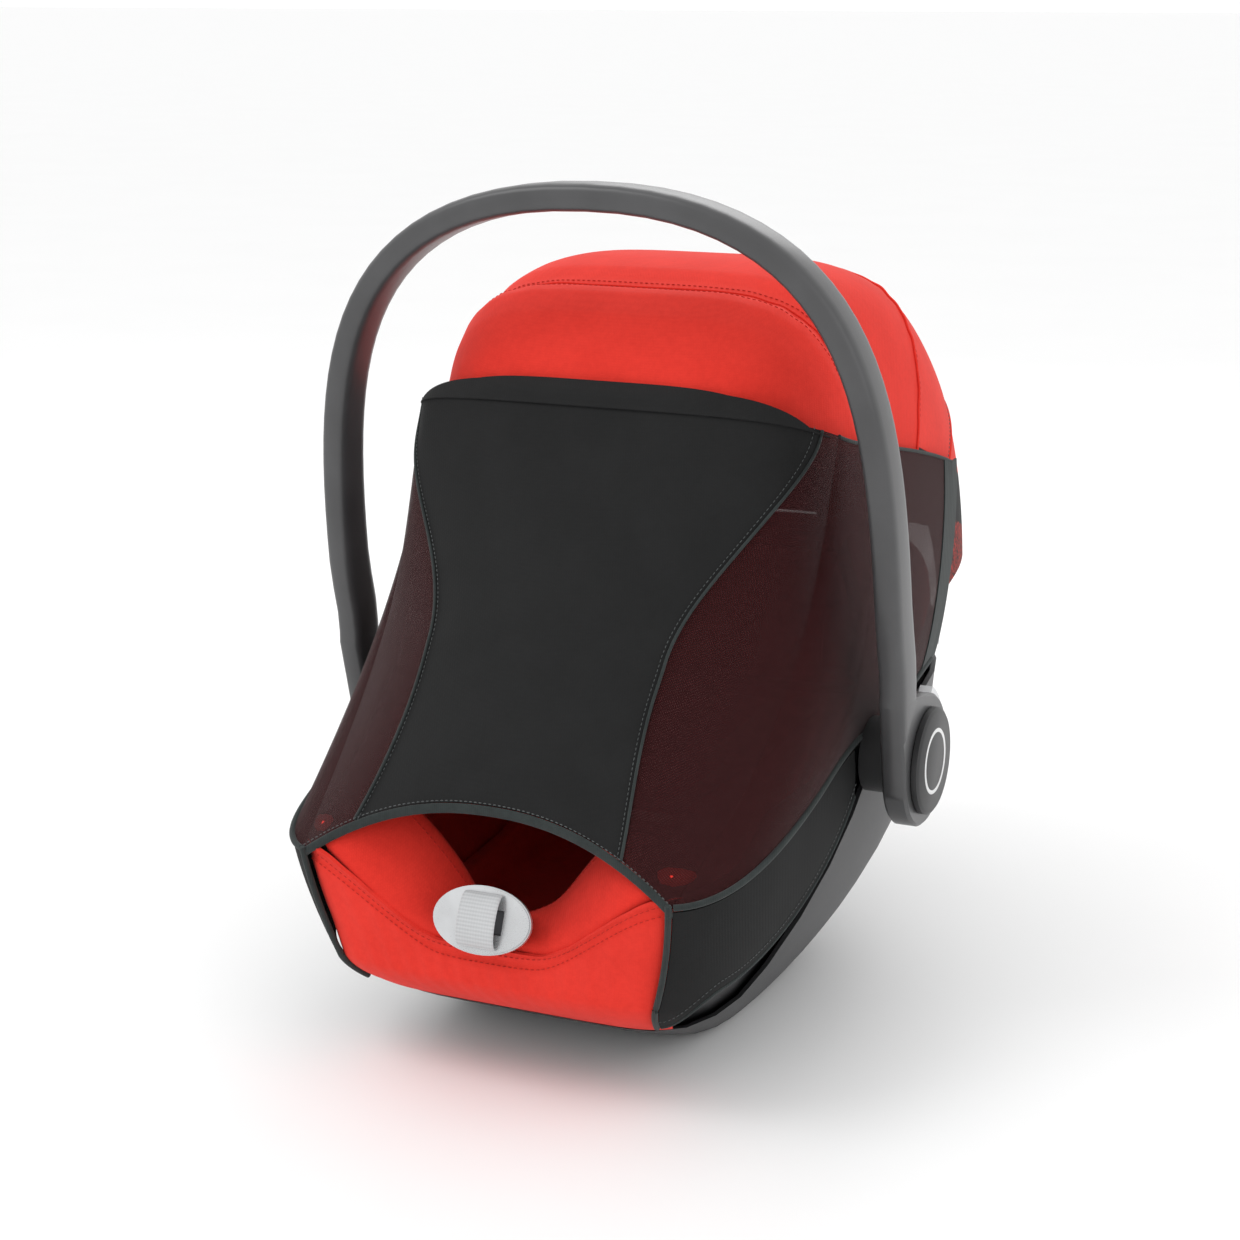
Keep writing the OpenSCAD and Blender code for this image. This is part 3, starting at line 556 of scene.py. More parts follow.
def sweep(name: str, path: Array, across: Array, up: Array, section: Array,
          material: bpy.types.Material, closed: bool = False) -> bpy.types.Object:
    """A section swept along a path.

    Args:
        name: the piece's name.
        path: points along the way.
        across: the section's first direction at each point.
        up: its second direction.
        section: section points, in metres.
        material: its finish.
        closed: joins the end to the start.

    Returns:
        The new object.
    """
    n, k = len(section), len(path)
    offsets = section[None, :, :1] * across[:, None] + section[None, :, 1:] * up[:, None]
    verts = (path[:, None] + offsets).reshape(-1, 3)
    faces: list = []
    for i in range(k if closed else k - 1):
        q = (i + 1) % k
        faces += [(i * n + j, q * n + j, q * n + (j + 1) % n, i * n + (j + 1) % n) for j in range(n)]
    if not closed:
        faces += [tuple(range(n)), tuple(range((k - 1) * n + n - 1, (k - 1) * n - 1, -1))]
    obj = new_object(name, verts, faces, material, 50.0)
    run = np.concatenate([[0], np.cumsum(np.linalg.norm(np.diff(path, axis=0), axis=1))])
    cloth_map(obj, np.stack([np.tile(section[:, 0], k), np.repeat(run, n)], 1))
    return obj


def tangents(path: Array) -> Array:
    """Unit directions along a path."""
    d = np.gradient(path, axis=0)
    return d / np.maximum(np.linalg.norm(d, axis=1, keepdims=True), 1e-12)


def round_section(w: float, d: float, n: int = 12, power: float = 1.0) -> Array:
    """A rounded section of width w and depth d."""
    a = np.arange(n) * 2 * math.pi / n
    c, s = np.cos(a), np.sin(a)
    return np.stack([w / 2 * np.sign(c) * abs(c) ** power, d / 2 * np.sign(s) * abs(s) ** power], 1)


def tube(name: str, path: Array, w: float, material: bpy.types.Material, n: int = 12) -> bpy.types.Object:
    """A round tube, such as piping, along a path."""
    t = tangents(path)
    ref = np.where(abs(t[:, 2:]) > 0.9, [[1.0, 0, 0]], [[0, 0, 1.0]])
    a = np.cross(t, ref)
    a /= np.linalg.norm(a, axis=1, keepdims=True)
    return sweep(name, path, a, np.cross(t, a), round_section(w, w, n), material)


def cad_copy(node: str, name: str, material: bpy.types.Material, sharp: float = 35.0) -> bpy.types.Object:
    """A smooth-shaded copy of a CAD node's mesh, merged, that stands for it.

    Args:
        node: the CAD node.
        name: the new piece's name.
        material: its finish.
        sharp: edges sharper than this, in degrees, stay crisp.

    Returns:
        The new object.
    """
    mesh = frame["nodes"][node].data.copy()
    bm = bmesh.new()
    bm.from_mesh(mesh)
    bmesh.ops.remove_doubles(bm, verts=bm.verts, dist=2e-6)
    verts = np.array([v.co for v in bm.verts])
    faces = [[v.index for v in f.verts] for f in bm.faces]
    bm.free()
    bpy.data.meshes.remove(mesh)
    return new_object(name, verts, faces, material, sharp)


def attach(obj: bpy.types.Object, body: str, slot: Slot, *nodes: str) -> bpy.types.Object:
    """Puts a piece on its body and hides the CAD nodes that it stands for."""
    if nodes:
        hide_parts(*nodes)
    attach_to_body(obj, body)
    return obj


def declare_stretched(obj: bpy.types.Object, g: Array) -> None:
    """Logs the flat size and area of a stretched sheet from its grid of points, in metres."""
    (w, l), area = flat_size(g)
    LOG.info("%s flat %.3f x %.3f m, %.4f m2", obj.name, w, l, area)


class Stitcher:
    """Lays a row of stitches along a path with Geometry Nodes."""

    def __init__(self) -> None:
        """Builds the tree once."""
        tree = bpy.data.node_groups.new("stitch_row", "GeometryNodeTree")
        face = tree.interface
        face.new_socket("Geometry", in_out="INPUT", socket_type="NodeSocketGeometry")
        kinds = {"Pitch": "Float", "Length": "Float", "Width": "Float", "Thread": "Material"}
        self.inputs = {name: face.new_socket(name, in_out="INPUT", socket_type="NodeSocket" + kind)
                       for name, kind in kinds.items()}
        face.new_socket("Geometry", in_out="OUTPUT", socket_type="NodeSocketGeometry")
        add = tree.nodes.new
        start, end = add("NodeGroupInput"), add("NodeGroupOutput")
        curve, points = add("GeometryNodeMeshToCurve"), add("GeometryNodeCurveToPoints")
        ball = add("GeometryNodeMeshUVSphere")
        points.mode = "LENGTH"
        ball.inputs["Segments"].default_value, ball.inputs["Rings"].default_value = 6, 4
        ball.inputs["Radius"].default_value = 0.5
        size, place = add("ShaderNodeCombineXYZ"), add("GeometryNodeInstanceOnPoints")
        real, smooth = add("GeometryNodeRealizeInstances"), add("GeometryNodeSetShadeSmooth")
        dress = add("GeometryNodeSetMaterial")
        for a, out, b, into in (
                (start, "Geometry", curve, 0), (curve, 0, points, "Curve"), (start, "Pitch", points, "Length"),
                (points, "Points", place, "Points"), (points, "Rotation", place, "Rotation"),
                (ball, "Mesh", place, "Instance"), (start, "Width", size, "X"), (start, "Width", size, "Y"),
                (start, "Length", size, "Z"), (size, 0, place, "Scale"), (place, 0, real, 0),
                (real, 0, smooth, 0), (smooth, 0, dress, "Geometry"), (start, "Thread", dress, "Material"),
                (dress, 0, end, 0)):
            tree.links.new(a.outputs[out], b.inputs[into])
        self.tree = tree

    def row(self, name: str, path: Array, thread: bpy.types.Material, pitch: float = 0.004,
            length: float = 0.0028, width: float = 0.0008) -> bpy.types.Object:
        """Makes one row of stitches.

        Args:
            name: the piece's name.
            path: points that the row follows.
            thread: the thread's finish.
            pitch: spacing of the stitches.
            length: length of one stitch.
            width: thickness of the thread.

        Returns:
            A plain mesh of the whole row.
        """
        mesh = bpy.data.meshes.new(name + "_path")
        mesh.from_pydata([tuple(map(float, p)) for p in path], [(i, i + 1) for i in range(len(path) - 1)], [])
        line = bpy.data.objects.new(name + "_path", mesh)
        bpy.context.scene.collection.objects.link(line)
        modifier = line.modifiers.new("stitches", "NODES")
        modifier.node_group = self.tree
        for key, value in (("Pitch", pitch), ("Length", length), ("Width", width), ("Thread", thread)):
            modifier[self.inputs[key].identifier] = value
        graph = bpy.context.evaluated_depsgraph_get()
        made = bpy.data.meshes.new_from_object(line.evaluated_get(graph))
        bpy.data.objects.remove(line)
        made.name = name
        obj = bpy.data.objects.new(name, made)
        bpy.context.scene.collection.objects.link(obj)
        return obj


def puff(obj: bpy.types.Object, voxel: float, cap: float, pressure: float = 4.0) -> None:
    """Fills a padded piece by a cloth simulation with inner pressure.

    Args:
        obj: a closed mesh, changed in place.
        voxel: remesh size.
        cap: furthest that a point may move.
        pressure: inner pressure.
    """
    scene = bpy.context.scene
    remesh = obj.modifiers.new("remesh", "REMESH")
    remesh.mode, remesh.voxel_size = "VOXEL", voxel
    graph = bpy.context.evaluated_depsgraph_get()
    mesh = bpy.data.meshes.new_from_object(obj.evaluated_get(graph))
    obj.modifiers.clear()
    obj.data = mesh
    rest = np.array([v.co for v in mesh.vertices])
    cloth = obj.modifiers.new("cloth", "CLOTH")
    cloth.settings.quality = 4
    cloth.settings.use_pressure = True
    cloth.settings.uniform_pressure_force = pressure
    cloth.settings.effector_weights.gravity = 0.0
    cloth.settings.tension_stiffness = cloth.settings.compression_stiffness = 20
    for number in range(1, 21):
        scene.frame_set(number)
    graph = bpy.context.evaluated_depsgraph_get()
    found = np.array([v.co for v in obj.evaluated_get(graph).data.vertices])
    obj.modifiers.clear()
    scene.frame_set(1)
    move = found - rest
    far = np.linalg.norm(move, axis=1, keepdims=True)
    move *= np.minimum(1.0, cap / np.maximum(far, 1e-9))
    obj.data.vertices.foreach_set("co", (rest + move).astype(np.float32).ravel())
    obj.data.polygons.foreach_set("use_smooth", [True] * len(obj.data.polygons))
    obj.data.update()


def lerp(a: Array | float, b: Array | float, t: Array | float) -> Array:
    """A value between a and b."""
    return a + (b - a) * t


def arc_power(v: Array, p: float) -> Array:
    """A power that keeps the sign."""
    return np.sign(v) * np.abs(v) ** p


@dataclass(frozen=True)
class Hull:
    """The carrier's outer form in millimetres: a superellipse in plan whose size follows the height."""

    half_w: float = 172.0
    sole_w: float = 100.0
    rim_z: float = 190.0
    pivot_z: float = 186.0
    datum: float = -37.5
    corner_dip: float = 34.0
    foot_dip: float = 54.0

    def width(self, z: Array) -> Array:
        """Half width at a height."""
        rise = 1 - (1 - np.minimum(z, self.pivot_z) / self.pivot_z) ** 2.2
        return (self.sole_w + (self.half_w - self.sole_w) * rise
                - 0.09 * np.maximum(0, z - self.pivot_z))

    def pt(self, a: Array | float, z: Array | float, inset: Array | float = 0.0) -> Array:
        """A point of the form.

        Args:
            a: plan angle in degrees, 90 at the head end.
            z: height.
            inset: distance inwards.

        Returns:
            Points with a last axis of 3.
        """
        a, z, inset = np.broadcast_arrays(np.radians(a), np.asarray(z, float), np.asarray(inset, float))
        front = np.sin(a) < -1e-12
        n = np.where(front, 7.0, 3.2)
        rho = (np.abs(np.cos(a)) ** n + np.abs(np.sin(a)) ** n) ** (-1 / n)
        s, c = rho * np.sin(a), rho * np.cos(a)
        low = np.minimum(z, 75.0)
        foot_end = 112 + 114 * (1 - (1 - low / 75) ** 1.5) + 0.24 * z
        head_end = 100 + 1.5 * z - 0.0022 * z * z
        length = np.where(front, foot_end, head_end) - inset
        taper = 1 - np.where(front, 0.07, 0.02) * s * s
        return np.stack([(self.width(z) - inset) * c * taper, self.datum + length * s, z], -1)

    def base_rim(self, a: Array) -> Array:
        """Height of the outer shell's rim."""
        y = self.pt(a, self.rim_z)[..., 1] - self.datum
        return np.minimum(self.pivot_z + 10, 38 + 0.9 * soft(y + 150, 30))

    def seat_rim(self, a: Array) -> Array:
        """Height of the inner shell's rim."""
        p = self.pt(a, self.rim_z)
        y = p[..., 1] - self.datum
        mask = ease((-y - 160) / 70)
        return (self.rim_z + 0.27 * soft(y - 20, 50)
                - mask * (self.corner_dip + self.foot_dip * (1 - ease((np.abs(p[..., 0]) - 35) / 100))))


HULL = Hull()


def tub(name: str, inset_out: float, inset_in: float, z_out: float, z_in: float, rim: Array,
        angles: Array, material: bpy.types.Material, swell: float = 0.0,
        rows: int = 34) -> bpy.types.Object:
    """A closed double-walled bowl between two insets of the hull.

    Args:
        name: the piece's name.
        inset_out: outer inset, mm.
        inset_in: inner inset, mm.
        z_out: outer floor, mm.
        z_in: inner floor, mm.
        rim: rim height at each angle, mm.
        angles: plan angles in degrees.
        material: its finish.
        swell: how far the inner face crowns between its edges, mm.
        rows: rows up each wall.

    Returns:
        The new object.
    """
    levels = np.linspace(0, 1, rows) ** 1.5
    rings = []
    for share in (0.35, 0.7):
        ring = HULL.pt(angles, z_out, inset_out)
        rings.append(np.array([0, HULL.datum, z_out]) * (1 - share) + ring * share)
    rings += [HULL.pt(angles, z_out + k * (rim - z_out), inset_out) for k in levels]
    mid, half = (inset_out + inset_in) / 2, (inset_in - inset_out) / 2
    for turn in np.radians([45, 90, 135]):
        rings.append(HULL.pt(angles, rim + half * math.sin(turn), mid - half * math.cos(turn)))
    for k in levels[::-1]:
        z = z_in + k * (rim - z_in)
        rings.append(HULL.pt(angles, z, inset_in + swell * math.sin(math.pi * min(1, k * 1.02)) ** 0.7))
    for share in (0.7, 0.35):
        ring = HULL.pt(angles, z_in, inset_in)
        rings.append(np.array([0, HULL.datum, z_in]) * (1 - share) + ring * share)
    n, m = len(angles), len(rings)
    verts = np.concatenate([np.concatenate(rings), [[0, HULL.datum, z_out], [0, HULL.datum, z_in]]]) / MM
    faces: list = []
    for i in range(m - 1):
        faces += [(i * n + j, i * n + (j + 1) % n, (i + 1) * n + (j + 1) % n, (i + 1) * n + j)
                  for j in range(n)]
    faces += [(m * n, (j + 1) % n, j) for j in range(n)]
    faces += [(m * n + 1, (m - 1) * n + j, (m - 1) * n + (j + 1) % n) for j in range(n)]
    return new_object(name, verts, faces, material, 50)


@dataclass
class Shells:
    """The rigid shells, their trims and the parts that stay as CAD made them."""

    ring_r: float = 0.0215
    ring_tube: float = 0.0012
    smooth: tuple[tuple[str, str, Slot], ...] = (
        ("base_shell", "seat", Slot.SHELL), ("seat_shell", "seat", Slot.BLACK),
        ("rear_housing", "seat", Slot.BLACK),
        ("release_lever", "lever", Slot.SILVER), ("carry_handle", "handle", Slot.HANDLE),
        ("handle_hub_left", "handle", Slot.HANDLE), ("handle_hub_right", "handle", Slot.HANDLE),
        ("side_protector_left", "protector_left", Slot.CAP),
        ("side_protector_right", "protector_right", Slot.CAP),
        ("headrest_frame", "headrest", Slot.BLACK), ("buckle_body", "seat", Slot.BLACK),
        ("adjuster_plate", "seat", Slot.SILVER))

    def build(self, looks: Finishes) -> int:
        """Builds the pieces.

        Args:
            looks: the finishes.

        Returns:
            How many pieces were made.
        """
        for node, body, slot in self.smooth:
            obj = cad_copy(node, node + "_finished", looks.by_slot[slot])
            attach(obj, body, slot, node)
        face_x, hub_y, hub_z, count = 0.21945, -0.0425, 0.186, 72
        for side in (-1, 1):
            a = np.arange(count) * 2 * math.pi / count
            out = np.stack([np.zeros(count), np.cos(a), np.sin(a)], 1)
            path = np.array([side * face_x, hub_y, hub_z]) + self.ring_r * out
            ring = sweep("cap_ring_" + ("left" if side < 0 else "right"), path, out,
                         np.tile([[1.0, 0, 0]], (count, 1)),
                         round_section(self.ring_tube * 2.4, self.ring_tube * 0.8, 10), looks.mark, True)
            attach(ring, "protector_left" if side < 0 else "protector_right", Slot.SILVER)
        return len(self.smooth) + 2


@dataclass
class Lining:
    """The padded lining with its rolled rim, the newborn inlay, the headrest pad and the foot cover."""

    samples: int = 176
    roll_w: float = 27.0
    roll_d: float = 13.0
    cover_puff: float = 3.4
    cover_t: float = 0.0026

    def angles(self) -> Array:
        """Plan angles, closer together at the corners."""
        a = np.linspace(0, 360, self.samples, endpoint=False)
        return a + 3.5 * np.sin(np.radians(a * 4)) * 0.6

    def build(self, looks: Finishes, stitches: Stitcher) -> int:
        """Builds the pieces.

        Args:
            looks: the finishes.
            stitches: lays stitch rows.

        Returns:
            How many pieces were made.
        """
        red = looks.by_slot[Slot.LINING]
        a = self.angles()
        body = tub("seat_lining_padded", 27.1, 33.1, 40.1, 46.1, HULL.seat_rim(a) - 4, a, red, 1.2)
        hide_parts("seat_lining")
        self.finish(body, "seat", Slot.LINING)
        rim = HULL.seat_rim(a)
        pucker = 0.5 * np.sin(np.radians(a * 31)) + 0.35 * np.sin(np.radians(a * 17 + 40))
        foot = ease((-np.sin(np.radians(a)) - 0.55) / 0.3)
        swell = foot * (1 - 0.75 * np.exp(-(HULL.pt(a, rim)[:, 0] / 46) ** 2))
        path = HULL.pt(a, rim + 1.5 + pucker * 0.4 + 9 * swell, 20.3 + 13 * swell) / MM
        inner = HULL.pt(a, rim, 30.0) / MM
        across = inner - HULL.pt(a, rim, 20.0) / MM
        across /= np.linalg.norm(across, axis=1, keepdims=True)
        tilt = 0.55 * swell[:, None]
        up = np.array([[0, 0, 1.0]]) - across * tilt
        across = across + np.array([[0, 0, 1.0]]) * tilt
        wide, deep = 1 + 1.05 * swell[:, None], 1 + 0.9 * swell[:, None]
        roll = sweep("lining_rim_roll", path, across * wide, up * deep,
                     round_section(self.roll_w / MM, self.roll_d / MM, 28, 0.8), red, True)
        self.finish(roll, "seat", Slot.LINING)
        groove = path + across * wide * 0.0095 + up * deep * 0.0054
        seam = stitches.row("rim_stitches", groove, looks.thread_red)
        attach(seam, "seat", Slot.LINING)
        y = HULL.pt(a, 190)[:, 1] - HULL.datum
        inlay_rim = 80 + 0.19 * soft(y + 20, 80)
        inlay = tub("newborn_inlay_cushion", 35.5, 52.3, 48.2, 60.0, inlay_rim, a, red, 3.0, 20)
        puff(inlay, 0.006, 0.006)
        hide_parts("newborn_inlay")
        self.finish(inlay, "seat", Slot.LINING)
        pad = cad_copy("headrest_pad", "headrest_cushion", red, 60)
        puff(pad, 0.005, 0.008)
        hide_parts("headrest_pad")
        self.finish(pad, "headrest", Slot.LINING)
        return 5 + self.foot(looks, stitches)

    def finish(self, obj: bpy.types.Object, body: str, slot: Slot) -> None:
        """Puts a padded piece on its body."""
        attach(obj, body, slot)

    def foot(self, looks: Finishes, stitches: Stitcher) -> int:
        """Builds the red wrap of the foot end.

        Args:
            looks: the finishes.
            stitches: lays stitch rows.

        Returns:
            How many pieces were made.
        """
        a = np.linspace(-132.5, -47.5, 150)
        low, high = HULL.base_rim(a) + 3, HULL.seat_rim(a) - 1
        t = np.linspace(0, 1, 46)
        z = low[:, None] + (high - low)[:, None] * t[None]
        side = np.abs((a + 90) / 43)[:, None]
        inset = lerp(0.3, 4.0, ease((z - 55) / 50))
        crown = np.sin(math.pi * np.clip(t * 0.86, 0, 1))[None] ** 0.55 * (1 - ease((side - 0.9) / 0.1))
        seam_at = 0.88 + 0.06 * ease((side - 0.1) / 0.5)
        notch = np.exp(-((t[None] - seam_at) * (high - low)[:, None] / 4.0) ** 2)
        wrinkle = 0.45 * np.sin(a[:, None] * 1.3 + 5 * t[None]) + 0.3 * np.sin(a[:, None] * 0.7 - 9 * t[None])
        relief = -self.cover_puff * crown + notch * 1.9 * crown - wrinkle * crown * 0.6
        g = HULL.pt(a[:, None], z, inset + relief) / MM
        faces_inwards = grid_normals(g)[75, 20][1] >= 0
        cover = cloth_sheet("foot_cover_padded", g, self.cover_t, looks.by_slot[Slot.COVER],
                            side=1.0 if faces_inwards else -1.0)
        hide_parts("foot_cover")
        self.finish(cover, "seat", Slot.COVER)
        offsets = (-3.6, 3.8)
        for number, offset in enumerate(offsets):
            level = np.clip(seam_at[:, 0] + offset / (high - low), 0.02, 0.97)
            zz = low + (high - low) * level
            keep = np.abs(a + 90) < 40
            path = HULL.pt(a, zz, lerp(0.3, 4.0, ease((zz - 55) / 50)) - self.cover_puff + 0.35)[keep] / MM
            seam = stitches.row(f"foot_stitches_{number}", path, looks.thread_red)
            attach(seam, "seat", Slot.COVER)
        return 1 + len(offsets)


@dataclass
class Canopy:
    """The folding sun canopy: a tail, a rear dome, two moving panels, their seams and the brim."""

    y: float = 27.5
    z: float = 240.0
    power: float = 4.5
    low_r: float = 112.0
    cloth: float = 1.3
    radii: tuple[tuple[float, float], ...] = (
        (6, 277.2), (40, 277.4), (69, 277.4), (78, 276.8), (92, 274.6), (99, 272.4), (102.6, 268.2),
        (104.6, 267.2), (106.2, 268.8), (107.4, 271.8), (109.5, 272.4), (114, 267.0), (120, 254.2),
        (124, 243.4), (127, 241.4), (130.6, 238.6))
    widths: tuple[tuple[float, float], ...] = (
        (6, 163.4), (69, 163.4), (80, 161.5), (100, 157.6), (105.6, 156.4), (109, 156.8), (115, 154.6),
        (124, 149.8), (130.6, 147.4))

    def point(self, phi: Array, alpha: Array, out: float = 0.0) -> Array:
        """A point of the canopy.

        Args:
            phi: angle round the pivot axis, degrees from the head end.
            alpha: -1..1 across the arch, from one low end to the other.
            out: distance outwards, mm.

        Returns:
            Points in metres.
        """
        phi, alpha = np.broadcast_arrays(np.asarray(phi, float), np.asarray(alpha, float))
        r = np.interp(phi, *zip(*self.radii)) + out
        w = np.interp(phi, *zip(*self.widths)) + out
        pull = sum(np.exp(-np.abs(phi - bow) / reach) for bow, reach in ((106, 2.6), (124, 2.2), (69, 2.5)))
        fold = 0.55 * np.sin(alpha * 41 + 0.4 * phi) + 0.4 * np.sin(alpha * 67 - 1.1 * phi + 2)
        sag = -sum(depth * np.sin(np.clip((phi - start) / span, 0, 1) * math.pi) ** 2
                   for depth, start, span in ((1.6, 69, 37), (1.2, 40, 29)))
        r = r + fold * pull * 0.75 + sag * (1 - np.abs(alpha) ** 4)
        w = w + fold * pull * 0.35
        limit = np.arccos((self.low_r / r) ** (self.power / 2))
        a = limit * np.sign(alpha) * np.abs(alpha) ** 0.86
        rho = r * np.maximum(0, np.cos(a)) ** (2 / self.power)
        x = w * arc_power(np.sin(a), 2 / self.power)
        f = np.radians(phi)
        return np.stack([x, self.y + rho * np.cos(f), self.z + rho * np.sin(f)], -1) / MM

    def panel(self, name: str, phi0: float, phi1: float, rows: int, material: bpy.types.Material,
              out: float = 0.0) -> bpy.types.Object:
        """One panel between two angles, as a thin sheet.

        Args:
            name: the piece's name.
            phi0: first angle.
            phi1: last angle.
            rows: rows between them.
            material: its finish.
            out: distance outwards, mm.

        Returns:
            The new object.
        """
        phi, alpha = np.linspace(phi0, phi1, rows), np.linspace(-1, 1, 150)
        g = self.point(phi[:, None], alpha[None], out)
        obj = cloth_sheet(name, g, self.cloth / MM, material, side=self.inward(g))
        declare_stretched(obj, g)
        return obj

    def inward(self, g: Array) -> float:
        """The side of a grid that faces the pivot axis."""
        i, j = g.shape[0] // 2, g.shape[1] // 2
        to_axis = np.array([0, self.y / MM, self.z / MM]) - g[i, j]
        return 1.0 if grid_normals(g)[i, j] @ to_axis > 0 else -1.0

    def across(self, phi: float, half: float) -> dict[str, tuple[float, float, float]]:
        """Start and end points of a blend band about one angle, half its width each way, in metres."""
        f = math.radians(phi)
        reach = 0.2
        centre = Vector((0, self.y / MM + reach * math.cos(f), self.z / MM + reach * math.sin(f)))
        along = Vector((0, -math.sin(f), math.cos(f))) * half
        return {"start": tuple(centre - along), "end": tuple(centre + along)}

    def build(self, looks: Finishes, stitches: Stitcher) -> int:
        """Builds the pieces.

        Args:
            looks: the finishes.
            stitches: lays stitch rows.

        Returns:
            How many pieces were made.
        """
        red = looks.by_slot[Slot.COVER]
        dome = self.panel("canopy_rear_dome", 38, 69.6, 40, looks.two_tone, 0.0)
        tail = self.panel("canopy_tail", 7.4, 38.8, 36, looks.two_tone, -0.25)
        for obj in (dome, tail):
            attach(obj, "seat", Slot.COVER)
        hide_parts("canopy_panel_rear")
        middle = self.panel("canopy_middle_cloth", 67.0, 106.0, 56, red, -0.35)
        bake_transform(middle)
        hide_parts("canopy_panel_middle")
        front = self.panel("canopy_front_cloth", 106.0, 130.2, 48, red)
        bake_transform(front)
        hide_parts("canopy_panel_front")
        made = 4
        line = np.linspace(-1, 1, 220)
        for name, phi, body, out in (("mid_seam", 105.0, "canopy_middle", 0.1),
                                     ("dome_seam", 69.5, "seat", 0.5), ("tail_seam", 38.4, "seat", 0.25)):
            seam = tube("canopy_" + name, self.point(phi, line, out), 0.0017, red, 10)
            attach(seam, body, Slot.COVER)
            made += 1
        brim = self.point(130.0, line, 0.4)
        band = sweep("canopy_brim", brim, tangents(np.gradient(brim, axis=0)), self.axis_dirs(130.0, len(line)),
                     round_section(0.0026, 0.007, 12, 0.7), looks.piping)
        attach(band, "canopy_front", Slot.NET)
        for name, phi, body, thread in (("brim", 128.2, "canopy_front", looks.thread_red),
                                        ("mid_front", 107.3, "canopy_middle", looks.thread_red),
                                        ("mid_rear", 103.6, "canopy_middle", looks.thread_red),
                                        ("dome", 68.3, "seat", looks.thread_red),
                                        ("tail", 39.6, "seat", looks.thread_dark)):
            row = stitches.row("canopy_stitches_" + name, self.point(phi, line, 0.1), thread)
            attach(row, body, Slot.COVER)
            made += 1
        return made + 1

    def axis_dirs(self, phi: float, count: int) -> Array:
        """Directions round the pivot axis, for a band that follows a bow."""
        f = math.radians(phi)
        return np.tile([[0, -math.sin(f), math.cos(f)]], (count, 1))


